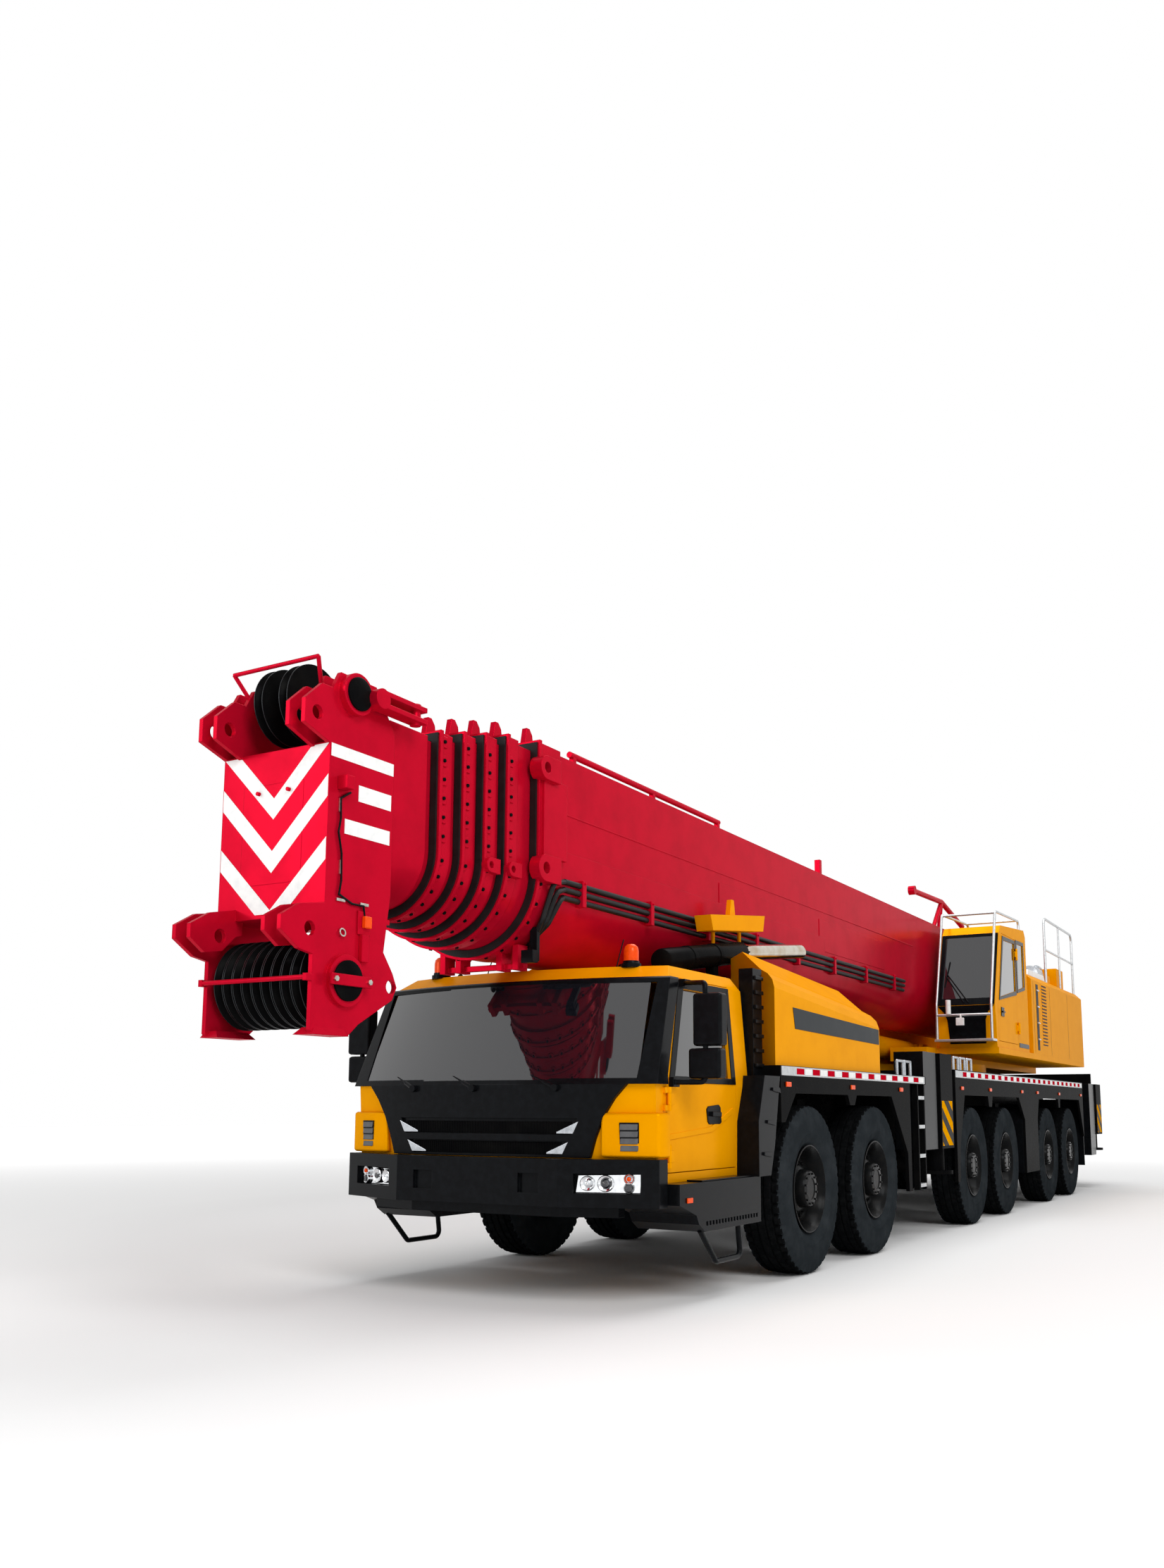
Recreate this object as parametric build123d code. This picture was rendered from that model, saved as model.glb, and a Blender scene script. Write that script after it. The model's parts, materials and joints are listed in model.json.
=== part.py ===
from build123d import *
import os

# Six-axle all-terrain telescopic crane in road trim: boom down in its rest.
# Millimetres. +X is forward, +Y the vehicle's left, +Z up, the tyres stand on Z = 0
# and the origin is under the middle of the whole machine.

# Running gear
AXLE_1_X = 4705
AXLE_OFFSETS = (0, 1680, 5280, 6960, 9640, 11320)
STEERED_AXLES = (1, 2, 5, 6)
TYRE_RADIUS = 685
TYRE_WIDTH = 375
TYRE_OUTER_Y = 1475
RIM_RADIUS = 330
RIM_WALL = 40
HUB_BORE = 65
HUB_CAP_DEPTH = 58
SPINDLE_CLEARANCE = 0.3
KINGPIN_INSET = 345
KINGPIN_RADIUS = 35
KINGPIN_CLEARANCE = 0.4
BOSS_RADIUS = 80
BOSS_HALF_HEIGHT = 100
EAR_THICKNESS = 50
AXLE_TUBE_RADIUS = 95
DIFF_RADIUS = 190
STRUT_Y = 640
STRUT_RADIUS = 60

# Chassis
FRAME_HALF_WIDTH = 450
FRAME_BOTTOM = 930
FRONT_DECK_BOTTOM = 1595
FRONT_DECK_TOP = 1678
REAR_DECK_BOTTOM = 1690
REAR_DECK_TOP = 1790
DECK_HALF_WIDTH = TYRE_OUTER_Y
SKIRT_THICKNESS = 35
SKIRT_BOTTOM = 1460
FRAME_FRONT_X = AXLE_1_X + 640
FRAME_STEP_X = AXLE_1_X - 4420
FRAME_REAR_X = AXLE_1_X - 14380
FRONT_DECK_END_X = AXLE_1_X - 3330
REAR_DECK_END_X = AXLE_1_X - 12500
NOSE_FRONT_X = AXLE_1_X + 2380
NOSE_BOTTOM = 620
REAR_X = AXLE_1_X - 14450
BRACKET_BOTTOM = 1330
BRACKET_TOP = 1430

# Outriggers: each transverse housing holds two beams side by side, one for each side
OUTRIGGER_X = (AXLE_1_X - 3855, AXLE_1_X - 13790)
CHANNEL_PITCH = 560
CHANNEL_WIDTH = 480
CHANNEL_BOTTOM = 1060
CHANNEL_HEIGHT = 420
HOUSING_WALL = 40
HOUSING_HALF_LENGTH = DECK_HALF_WIDTH - 345
BEAM_CLEARANCE = 0.5
JACK_BOX_TOP = (1950, 1790)
JACK_BOX_BOTTOM = 910
JACK_BORE = 110
JACK_CLEARANCE = 0.5
JACK_FOOT_BOTTOM = 630
JACK_FOOT_RADIUS = 200
JACK_FOOT_THICKNESS = 40

# Driver's cab
CAB_REAR_X = AXLE_1_X + 880
CAB_HALF_WIDTH = DECK_HALF_WIDTH - 175
CAB_BOTTOM = 830
CAB_TOP = 2360
CAB_WALL = 55
CAB_BOW = 190
DOOR_X = (AXLE_1_X + 1110, AXLE_1_X + 2200)
DOOR_Z = (900, 2270)
DOOR_GAP = 6
DOOR_WINDOW_SILL = 1560
GLASS_THICKNESS = 8
PILLAR_WIDTH = 115
MASK_THICKNESS = 30
GRILLE_Z = ((1015, 1110), (1155, 1265))
LAMP_Z = (770, 900)
LAMP_DEPTH = 70

# Superstructure
SLEW_X = AXLE_1_X - 8000
SLEW_RADIUS = 1000
SLEW_GAP = 8
BED_BOTTOM = 1960
BED_TOP = 2140
BED_FRONT_X = AXLE_1_X - 5950
BED_REAR_X = AXLE_1_X - 12800
CHEEK_INNER_Y = 600
CHEEK_THICKNESS = 70
UPPER_HALF_WIDTH = DECK_HALF_WIDTH
OP_CAB_INNER_Y = 700
OP_CAB_OUTER_Y = UPPER_HALF_WIDTH - 15
OP_CAB_WALL = 45
OP_CAB_FRONT_X = AXLE_1_X - 6680
OP_CAB_REAR_X = AXLE_1_X - 8590
OP_CAB_TOP = 3890
POWER_FRONT_X = AXLE_1_X - 8790
POWER_TOP = 3310
WINCH_X = AXLE_1_X - 11950
WINCH_Z = 2700
WINCH_RADIUS = 330

# Boom
BOOM_PIVOT_X = AXLE_1_X - 10200
BOOM_PIVOT_Z = 2950
BOOM_HALF_WIDTH = 550
BOOM_TOP = 3870
BOOM_BELLY_CENTRE = 2960
BOOM_REAR_X = AXLE_1_X - 10620
BOOM_STEP = 38
BOOM_WALL = 10
COLLAR_RISE = 22
FIN_RISE = 150
FIN_Y = 430
BELLY_PLATE = 12
BELLY_PLATE_TOP = 3170
COLLAR_FRONTS = tuple(AXLE_1_X + d for d in (2790, 3120, 3320, 3510, 3710))
COLLAR_LENGTHS = (290, 140, 140, 140, 140)
SECTION_REAR_STEP = 120
PAD_CLEARANCE = 0.5
TRUNNION_RADIUS = 110
TRUNNION_CLEARANCE = 0.5

# Boom head
HEAD_HALF_WIDTH = 424
HEAD_PLATE = 30
HEAD_FRONT_X = AXLE_1_X + 4710
HEAD_REAR_X = AXLE_1_X + 4150
HEAD_TIP_X = AXLE_1_X + 5040
HEAD_PIN_X = AXLE_1_X + 4530
LOWER_PIN_Z = 2050
UPPER_PIN_Z = 3740
LOWER_SHEAVE_RADIUS = 262
UPPER_SHEAVE_RADIUS = 235
UPPER_SHEAVE_Y = (-110, 90)
SHEAVE_PITCH = 76
SHEAVE_WIDTH = 64
LOWER_SHEAVES = 9
LUG_BORE = 42

# Lift cylinder
LIFT_FOOT_X = AXLE_1_X - 7600
LIFT_FOOT_Z = 2130
LIFT_EYE_X = AXLE_1_X - 3500
LIFT_EYE_Z = 2215
LIFT_BARREL_RADIUS = 150
LIFT_ROD_RADIUS = 110
LIFT_PIN_RADIUS = 60
LIFT_CLEARANCE = 0.5


def block(x, y, z):
    """Box between the (low, high) pairs x, y and z."""
    centre = Pos((x[0] + x[1]) / 2, (y[0] + y[1]) / 2, (z[0] + z[1]) / 2)
    return centre * Box(x[1] - x[0], y[1] - y[0], z[1] - z[0])


def side_plate(points, y):
    """Plate with an outline of (x, z) points, between two y values."""
    wire = Polyline(*[(px, y[0], pz) for px, pz in points], close=True)
    return extrude(make_face(wire), amount=y[1] - y[0], dir=(0, 1, 0))


def plan_plate(points, z):
    """Plate with an outline of (x, y) points, between two heights."""
    wire = Polyline(*[(px, py, z[0]) for px, py in points], close=True)
    return extrude(make_face(wire), amount=z[1] - z[0], dir=(0, 0, 1))


def plan_face(x, y, z):
    """Level rectangle for a loft, with x measured from the first axle."""
    return make_face(Polyline(*[(AXLE_1_X + px, py, z) for px, py in
                                ((x[0], y[0]), (x[1], y[0]), (x[1], y[1]), (x[0], y[1]))], close=True))


def rod(start, end, radius):
    """Round bar from one point to another."""
    axis = Vector(*end) - Vector(*start)
    return extrude(Plane(origin=start, z_dir=axis) * Circle(radius), amount=axis.length)


def cross_rod(x, z, y, radius):
    """Round bar across the vehicle between two y values."""
    return rod((x, y[0], z), (x, y[1], z), radius)


def bent_tube(points, radius, bend):
    """Round tube along straight runs with bends."""
    path = FilletPolyline(*points, radius=bend)
    return sweep(Plane(path @ 0, z_dir=path % 0) * Circle(radius), path=path)


def both_sides(shape):
    """The shape and its mirror image across the vehicle's middle plane."""
    return [shape, mirror(shape, about=Plane.XZ)]


def joined(shapes):
    """All shapes fused to one body."""
    result = shapes[0]
    for shape in shapes[1:]:
        result = result + shape
    return result


def save(name, shapes):
    """Write one node from its separate solids."""
    solids = [solid for shape in shapes for solid in shape.solids()]
    export_step(Compound(children=solids), f"parts/{name}.step")


AXLE_X = tuple(AXLE_1_X - offset for offset in AXLE_OFFSETS)
WHEEL_Y = TYRE_OUTER_Y - TYRE_WIDTH / 2
KINGPIN_Y = TYRE_OUTER_Y - KINGPIN_INSET
SPINDLE_END_Y = TYRE_OUTER_Y - HUB_CAP_DEPTH - 2
SIDES = (("left", 1), ("right", -1))
os.makedirs("parts", exist_ok=True)


# Wheels: a bulged tyre carcass on a dished rim, turning on the spindle.
def wheel(x, side):
    half = TYRE_WIDTH / 2
    tread = TYRE_RADIUS
    seat = RIM_RADIUS + SPINDLE_CLEARANCE
    carcass = [(seat, -half + 45), (tread - 190, -half), (tread - 70, -half + 8),
               (tread, -half + 55), (tread, half - 55), (tread - 70, half - 8),
               (tread - 190, half), (seat, half - 45)]
    bore = HUB_BORE + SPINDLE_CLEARANCE
    inside = RIM_RADIUS - RIM_WALL
    dish = [(RIM_RADIUS, -half + 20), (RIM_RADIUS, half - 20), (inside, half - 20),
            (inside - 30, half - 130), (150, half - 130), (140, half - 50), (0, half - 40),
            (0, half - HUB_CAP_DEPTH), (bore, half - HUB_CAP_DEPTH), (bore, half - 190),
            (inside, half - 190), (inside, -half + 20)]
    pieces = []
    for outline in (carcass, dish):
        wire = Polyline(*[(r, 0, h) for r, h in outline], close=True)
        pieces.append(revolve(make_face(wire), axis=Axis.Z))
    place = Pos(x, side * WHEEL_Y, TYRE_RADIUS) * Rot(-90 * side, 0, 0)
    return [place * piece for piece in pieces]


# Knuckle: a fork on the kingpin, with the wheel's spindle on its outer side.
def knuckle(x, side):
    low = TYRE_RADIUS - BOSS_HALF_HEIGHT - PAD_CLEARANCE
    high = TYRE_RADIUS + BOSS_HALF_HEIGHT + PAD_CLEARANCE
    back = KINGPIN_Y + BOSS_RADIUS + 12
    ears = []
    for z in ((low - EAR_THICKNESS, low), (high, high + EAR_THICKNESS)):
        ears.append(Pos(x, KINGPIN_Y, z[0]) * extrude(Circle(BOSS_RADIUS), amount=EAR_THICKNESS))
        ears.append(block((x - BOSS_RADIUS, x + BOSS_RADIUS), (KINGPIN_Y, back), z))
    heel = block((x - BOSS_RADIUS, x + BOSS_RADIUS), (back - 1, back + 30),
                 (low - EAR_THICKNESS, high + EAR_THICKNESS))
    pin = rod((x, KINGPIN_Y, low - 1), (x, KINGPIN_Y, high + 1), KINGPIN_RADIUS)
    spindle = cross_rod(x, TYRE_RADIUS, (back + 29, SPINDLE_END_Y), HUB_BORE)
    arm = joined(ears + [heel, pin, spindle])
    return arm if side > 0 else mirror(arm, about=Plane.XZ)


# Axle: tube with a differential bulge and two suspension struts up to the frame.
def axle(x, steered):
    end = KINGPIN_Y if steered else SPINDLE_END_Y
    tube_end = end if steered else TYRE_OUTER_Y - TYRE_WIDTH
    parts = [cross_rod(x, TYRE_RADIUS, (-tube_end, tube_end), AXLE_TUBE_RADIUS)]
    bulge = [(0, -330), (DIFF_RADIUS * 0.6, -300), (DIFF_RADIUS, -90),
             (DIFF_RADIUS, 90), (DIFF_RADIUS * 0.6, 300), (0, 330)]
    wire = Polyline(*[(r, 0, h) for r, h in bulge], close=True)
    parts.append(Pos(x, 0, TYRE_RADIUS) * Rot(90, 0, 0) * revolve(make_face(wire), axis=Axis.Z))
    for side in (1, -1):
        parts.append(rod((x, side * STRUT_Y, TYRE_RADIUS),
                         (x, side * STRUT_Y, BRACKET_BOTTOM), STRUT_RADIUS))
        if steered:
            boss = rod((x, side * KINGPIN_Y, TYRE_RADIUS - BOSS_HALF_HEIGHT),
                       (x, side * KINGPIN_Y, TYRE_RADIUS + BOSS_HALF_HEIGHT), BOSS_RADIUS)
            parts.append(boss)
        else:
            parts.append(cross_rod(x, TYRE_RADIUS, sorted((side * (tube_end - 1), side * end)),
                                   HUB_BORE))
    shape = joined(parts)
    if steered:
        for side in (1, -1):
            height = BOSS_HALF_HEIGHT + 10
            shape -= rod((x, side * KINGPIN_Y, TYRE_RADIUS - height),
                         (x, side * KINGPIN_Y, TYRE_RADIUS + height),
                         KINGPIN_RADIUS + KINGPIN_CLEARANCE)
    return shape


save("axle_beams", [axle(x, number in STEERED_AXLES) for number, x in enumerate(AXLE_X, 1)])
for number, x in enumerate(AXLE_X, 1):
    for label, side in SIDES:
        save(f"wheel_{number}_{label}", wheel(x, side))
        if number in STEERED_AXLES:
            save(f"knuckle_{number}_{label}", [knuckle(x, side)])


# Chassis frame: a deep box spine with suspension brackets, two outrigger housings,
# the slewing ring's pedestal, a low nose under the cab and the rear cross member.
def outrigger_channels(x, oversize):
    """The two beam passages of one housing, as (side, passage) pairs."""
    passages = []
    for side in (1, -1):
        centre = x - side * CHANNEL_PITCH / 2
        half = CHANNEL_WIDTH / 2 + oversize
        passages.append((side, block((centre - half, centre + half),
                                     (-HOUSING_HALF_LENGTH - 10, HOUSING_HALF_LENGTH + 10),
                                     (CHANNEL_BOTTOM - oversize,
                                      CHANNEL_BOTTOM + CHANNEL_HEIGHT + oversize))))
    return passages


def outrigger_housing(x):
    half = CHANNEL_PITCH / 2 + CHANNEL_WIDTH / 2 + HOUSING_WALL
    return block((x - half, x + half), (-HOUSING_HALF_LENGTH, HOUSING_HALF_LENGTH),
                 (CHANNEL_BOTTOM - HOUSING_WALL, CHANNEL_BOTTOM + CHANNEL_HEIGHT + HOUSING_WALL))


spine = side_plate([(FRAME_REAR_X, FRAME_BOTTOM), (FRAME_REAR_X, REAR_DECK_BOTTOM),
                    (FRAME_STEP_X, REAR_DECK_BOTTOM), (FRAME_STEP_X, FRONT_DECK_BOTTOM),
                    (FRAME_FRONT_X, FRONT_DECK_BOTTOM), (FRAME_FRONT_X, FRAME_BOTTOM)],
                   (-FRAME_HALF_WIDTH, FRAME_HALF_WIDTH))
nose = side_plate([(FRAME_FRONT_X - 600, FRAME_BOTTOM + 50), (FRAME_FRONT_X + 200, CAB_BOTTOM),
                   (NOSE_FRONT_X, CAB_BOTTOM), (NOSE_FRONT_X, NOSE_BOTTOM),
                   (FRAME_FRONT_X, NOSE_BOTTOM + 130), (FRAME_FRONT_X - 600, FRAME_BOTTOM)],
                  (-FRAME_HALF_WIDTH, FRAME_HALF_WIDTH))
brackets = [block((x - 110, x + 110), (-STRUT_Y - 80, STRUT_Y + 80), (BRACKET_BOTTOM, BRACKET_TOP))
            for x in AXLE_X]
pedestal = rod((SLEW_X, 0, REAR_DECK_BOTTOM - 300), (SLEW_X, 0, BED_BOTTOM - SLEW_GAP - 150),
               SLEW_RADIUS)
chassis = joined([spine, nose, pedestal] + brackets + [outrigger_housing(x) for x in OUTRIGGER_X])
for x in OUTRIGGER_X:
    for side, passage in outrigger_channels(x, 0):
        chassis -= passage
TOW_Z = 1000
TOW_BORE = 26
TOW_X = REAR_X + 46
coupling = block((REAR_X + 4, FRAME_REAR_X + 5), (-90, 90), (TOW_Z - 90, TOW_Z + 90))
chassis += coupling
chassis -= block((REAR_X, TOW_X + 50), (-100, 100), (TOW_Z - 35, TOW_Z + 35))
chassis -= rod((TOW_X, 0, TOW_Z - 91), (TOW_X, 0, TOW_Z + 91), TOW_BORE)
save("chassis_frame", [chassis])


# Outrigger beam with the jack's box at its outer end, and the jack with its float.
def outrigger_beam(x, side, top):
    centre = x - side * CHANNEL_PITCH / 2
    half = CHANNEL_WIDTH / 2 - BEAM_CLEARANCE
    box_y = (HOUSING_HALF_LENGTH + 15, DECK_HALF_WIDTH)
    beam = block((centre - half, centre + half), (-HOUSING_HALF_LENGTH + 60, box_y[0] + 1),
                 (CHANNEL_BOTTOM + BEAM_CLEARANCE, CHANNEL_BOTTOM + CHANNEL_HEIGHT - BEAM_CLEARANCE))
    beam += block((centre - half, centre + half), box_y, (JACK_BOX_BOTTOM, top))
    jack_y = (box_y[0] + box_y[1]) / 2
    beam -= rod((centre, jack_y, JACK_BOX_BOTTOM - 1), (centre, jack_y, top - 40),
                JACK_BORE + JACK_CLEARANCE)
    jack = rod((centre, jack_y, JACK_FOOT_BOTTOM + 1), (centre, jack_y, top - 60), JACK_BORE)
    jack += rod((centre, jack_y, JACK_FOOT_BOTTOM),
                (centre, jack_y, JACK_FOOT_BOTTOM + JACK_FOOT_THICKNESS), JACK_FOOT_RADIUS)
    if side > 0:
        return beam, jack
    return mirror(beam, about=Plane.XZ), mirror(jack, about=Plane.XZ)


for end, x, top in zip(("front", "rear"), OUTRIGGER_X, JACK_BOX_TOP):
    for label, side in SIDES:
        beam, jack = outrigger_beam(x, side, top)
        save(f"outrigger_beam_{end}_{label}", [beam])
        save(f"outrigger_jack_{end}_{label}", [jack])


# Decks: front and rear deck plates with hanging skirts, tapered between the wheels.
def skirt(points, side):
    y = (DECK_HALF_WIDTH - SKIRT_THICKNESS, DECK_HALF_WIDTH)
    plate = side_plate([(AXLE_1_X + px, pz) for px, pz in points], y)
    return plate if side > 0 else mirror(plate, about=Plane.XZ)


FRONT_SKIRT = [(650, FRONT_DECK_BOTTOM + 1), (640, 1230), (560, 1230), (330, SKIRT_BOTTOM),
               (-900, SKIRT_BOTTOM), (-960, 1370), (-1080, 1370), (-1140, SKIRT_BOTTOM),
               (-2150, SKIRT_BOTTOM), (-2640, 900), (-2660, 520), (-2760, 520),
               (-2760, FRONT_DECK_BOTTOM + 1)]
REAR_SKIRT = [(-4500, REAR_DECK_BOTTOM + 1), (-4500, 520), (-4600, 520), (-4640, 900),
              (-4900, SKIRT_BOTTOM + 40), (-6000, SKIRT_BOTTOM + 40), (-6050, 1370),
              (-6190, 1370), (-6240, SKIRT_BOTTOM + 40), (-7700, SKIRT_BOTTOM + 40),
              (-8040, 1200), (-8040, 480), (-8860, 480), (-8860, 1200),
              (-9000, SKIRT_BOTTOM + 40), (-10400, SKIRT_BOTTOM + 40), (-10430, 1370),
              (-10530, 1370), (-10560, SKIRT_BOTTOM + 40), (-12150, SKIRT_BOTTOM + 40),
              (-12480, 900), (-12500, 900), (-12500, REAR_DECK_BOTTOM + 1)]
front_deck = block((FRONT_DECK_END_X, FRAME_FRONT_X + 10), (-DECK_HALF_WIDTH, DECK_HALF_WIDTH),
                   (FRONT_DECK_BOTTOM, FRONT_DECK_TOP))
rear_deck = block((REAR_DECK_END_X, AXLE_1_X - 4500), (-DECK_HALF_WIDTH, DECK_HALF_WIDTH),
                  (REAR_DECK_BOTTOM, REAR_DECK_TOP))
rear_deck -= rod((SLEW_X, 0, REAR_DECK_BOTTOM - 1), (SLEW_X, 0, REAR_DECK_TOP + 1), SLEW_RADIUS)
for side in (1, -1):
    front_deck += skirt(FRONT_SKIRT, side)
    rear_deck += skirt(REAR_SKIRT, side)
housing_half = CHANNEL_PITCH / 2 + CHANNEL_WIDTH / 2 + HOUSING_WALL
tail_cover = block((FRAME_REAR_X, REAR_DECK_END_X), (-FRAME_HALF_WIDTH - 600, FRAME_HALF_WIDTH + 600),
                   (REAR_DECK_BOTTOM, REAR_DECK_TOP - 30))
tail_cover += block((REAR_X, REAR_X + 60), (175 - DECK_HALF_WIDTH, DECK_HALF_WIDTH - 175),
                    (REAR_DECK_BOTTOM, REAR_DECK_TOP + 200))
tail_cover += block((REAR_X, FRAME_REAR_X + 5), (-600, 600), (REAR_DECK_BOTTOM, REAR_DECK_TOP - 30))
save("deck_plates", [front_deck, rear_deck, tail_cover])


# Panels that close the unused end of each outrigger passage, and the side boxes.
def passage_cover(x, side, top, bottom):
    centre = x + side * CHANNEL_PITCH / 2
    half = CHANNEL_WIDTH / 2
    y = (HOUSING_HALF_LENGTH, DECK_HALF_WIDTH - 25)
    cover = block((centre - half, centre + half), y, (bottom, top))
    return cover if side > 0 else mirror(cover, about=Plane.XZ)


covers = [passage_cover(x, side, top, 560 if top < 1900 else JACK_BOX_BOTTOM)
          for x, top in zip(OUTRIGGER_X, JACK_BOX_TOP) for side in (1, -1)]
tanks = []
for side in (1, -1):
    tool_box = block((AXLE_1_X - 8860, AXLE_1_X - 8040),
                     (FRAME_HALF_WIDTH, DECK_HALF_WIDTH - SKIRT_THICKNESS), (480, 1330))
    tanks.append(tool_box if side > 0 else mirror(tool_box, about=Plane.XZ))
save("side_boxes", covers + tanks)


# Driver's cab: a bowed shell lofted through level outlines, with the doors cut from
# its sides and the windscreen from its front.
CAB_LEVELS = ((CAB_BOTTOM, 2560, CAB_HALF_WIDTH - 10), (1500, 2600, CAB_HALF_WIDTH),
              (2250, 2290, CAB_HALF_WIDTH - 60), (CAB_TOP, 2120, CAB_HALF_WIDTH - 150))


def cab_level(z, front, half, inset):
    rear = CAB_REAR_X + inset
    corner = AXLE_1_X + front - CAB_BOW - inset
    wide = half - inset
    back = Polyline((corner, wide, z), (rear, wide, z), (rear, -wide, z), (corner, -wide, z))
    bow = ThreePointArc((corner, -wide, z), (AXLE_1_X + front - inset, 0, z), (corner, wide, z))
    return make_face(back + bow)


def cab_body(inset):
    faces = []
    for index, (z, front, half) in enumerate(CAB_LEVELS):
        lift = inset if index == 0 else -inset if index == len(CAB_LEVELS) - 1 else 0
        faces.append(cab_level(z + lift, front, half, inset))
    return loft(faces, ruled=True)


def at_front(points):
    """Outline points given from the first axle, in the vehicle's frame."""
    return [(AXLE_1_X + px, pz) for px, pz in points]


def door_zone(margin):
    """Left door's outline through the cab's side wall, grown by a margin."""
    return side_plate(at_front([(1110 - margin, 900 - margin), (1110 - margin, 2260 + margin),
                                (1960 + margin, 2260 + margin), (2240 + margin, 1500 + margin),
                                (2240 + margin, 900 - margin)]),
                      (CAB_HALF_WIDTH - 250, CAB_HALF_WIDTH + 100))


HINGE_X = AXLE_1_X + 2240 + DOOR_GAP / 2
HINGE_Y = CAB_HALF_WIDTH + 20
HINGE_RADIUS = 16
HINGE_GAP = 0.4
HINGE_LEVELS = (1010, 1400)


def hinge(z, half_height, x):
    """Hinge barrel with a leaf from the barrel to x."""
    leaf_x = sorted((HINGE_X, x))
    leaf = block(leaf_x, (CAB_HALF_WIDTH - 30, HINGE_Y), (z - half_height, z + half_height))
    return leaf + rod((HINGE_X, HINGE_Y, z - half_height), (HINGE_X, HINGE_Y, z + half_height),
                      HINGE_RADIUS)


cab_outer = cab_body(0)
cab_wall = cab_outer - cab_body(CAB_WALL)
windscreen_zone = block((AXLE_1_X + 1800, AXLE_1_X + 2800),
                        (PILLAR_WIDTH - CAB_HALF_WIDTH, CAB_HALF_WIDTH - PILLAR_WIDTH), (1540, 2220))
cab = cab_wall - windscreen_zone
for zone in both_sides(door_zone(DOOR_GAP)):
    cab -= zone
door_window = side_plate(at_front([(1190, DOOR_WINDOW_SILL), (1190, 2190), (1890, 2190),
                                   (2120, DOOR_WINDOW_SILL)]),
                         (CAB_HALF_WIDTH - 300, CAB_HALF_WIDTH + 200))
door = (cab_wall & door_zone(0)) - door_window
ears = []
for z in HINGE_LEVELS:
    door += hinge(z, 40, HINGE_X - 70) - cab_body(CAB_WALL)
    for step in (1, -1):
        ears.append(hinge(z + step * (60 + HINGE_GAP), 20, HINGE_X + 60) - cab_body(CAB_WALL))
for ear in ears:
    for side_ear in both_sides(ear):
        cab += side_ear
save("driver_cab", [cab])
# Mirrors: two heads on a tube arm, held by brackets on each door's top frame and below its sill.
MIRROR_X = AXLE_1_X + 2125
MIRROR_Y = CAB_HALF_WIDTH + 240
MIRROR_HEADS = (((MIRROR_Y - 80, MIRROR_Y + 125), (1770, 2120)),
                ((MIRROR_Y - 115, MIRROR_Y + 115), (1545, 1740)))
MIRROR_BRACKETS = (((1865, 1950), (CAB_HALF_WIDTH - 90, CAB_HALF_WIDTH - 10), (2205, 2250)),
                   ((2130, 2215), (CAB_HALF_WIDTH - 30, CAB_HALF_WIDTH + 35), (1488, 1545)))
mirror_set = bent_tube([(AXLE_1_X + 1922, CAB_HALF_WIDTH - 30, 2228), (MIRROR_X, MIRROR_Y, 2200),
                        (MIRROR_X, MIRROR_Y, 1516), (AXLE_1_X + 2180, CAB_HALF_WIDTH + 15, 1516)], 16, 40)
for y, z in MIRROR_HEADS:
    head = block((MIRROR_X - 75, MIRROR_X + 25), y, z)
    mirror_set += fillet(head.edges().filter_by(Axis.Z), 30)
for x, y, z in MIRROR_BRACKETS:
    door += block((AXLE_1_X + x[0], AXLE_1_X + x[1]), y, z)
door += mirror_set
for (label, side), shape in zip(SIDES, both_sides(door)):
    save(f"cab_door_{label}", [shape])
windscreen = (cab_body(10) - cab_body(10 + GLASS_THICKNESS)) & windscreen_zone
save("driver_cab_glass", [windscreen])

# Inside the cab: dashboard across the front wall, two seats and the steering wheel.
CAB_FLOOR = CAB_BOTTOM + CAB_WALL
SEAT_X = AXLE_1_X + 1180
dash = block((AXLE_1_X + 2030, AXLE_1_X + 2700), (150 - CAB_HALF_WIDTH, CAB_HALF_WIDTH - 150),
             (1150, 1480)) & cab_body(CAB_WALL)
seats = []
SEAT_Y = CAB_HALF_WIDTH - 680
for y in (SEAT_Y, -SEAT_Y):
    cushion = block((SEAT_X, SEAT_X + 520), (y - 250, y + 250), (CAB_FLOOR, CAB_FLOOR + 430))
    back = side_plate([(SEAT_X - 130, CAB_FLOOR + 1080), (SEAT_X - 20, CAB_FLOOR + 1080),
                       (SEAT_X + 110, CAB_FLOOR + 429), (SEAT_X, CAB_FLOOR + 429)],
                      (y - 240, y + 240))
    seats.append(cushion + back)
column = rod((AXLE_1_X + 2040, SEAT_Y, 1340), (AXLE_1_X + 1930, SEAT_Y, 1460), 28)
wheel_ring = Plane(origin=(AXLE_1_X + 1930, SEAT_Y, 1460), z_dir=(-0.68, 0, 0.74)) * Torus(210, 16)
spoke = Plane(origin=(AXLE_1_X + 1930, SEAT_Y, 1460), z_dir=(-0.68, 0, 0.74)) * Box(36, 400, 18)
save("cab_interior", seats + [dash - column, column + wheel_ring + spoke])

# Bumper: a bowed beam seated on the cab's front.
BUMPER_Z = (675, 995)
BUMPER_Y = CAB_HALF_WIDTH + 50
BUMPER_HALF = [(2385, BUMPER_Y - 150), (2330, BUMPER_Y), (2450, BUMPER_Y), (2680, BUMPER_Y - 660)]
bumper = plan_plate([(AXLE_1_X + px, -py) for px, py in BUMPER_HALF]
                    + [(AXLE_1_X + px, py) for px, py in reversed(BUMPER_HALF)], BUMPER_Z) - cab_outer
corner_run = Vector(2450 - 2680, 660, 0)
corner_out = Vector(660, 230, 0).normalized()


def corner_point(share, out):
    """Point on the bumper's slanted left corner face, at a share of its length and a depth."""
    point = Vector(AXLE_1_X + 2680, BUMPER_Y - 660, 0) + corner_run * share + corner_out * out
    return (point.X, point.Y)


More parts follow.
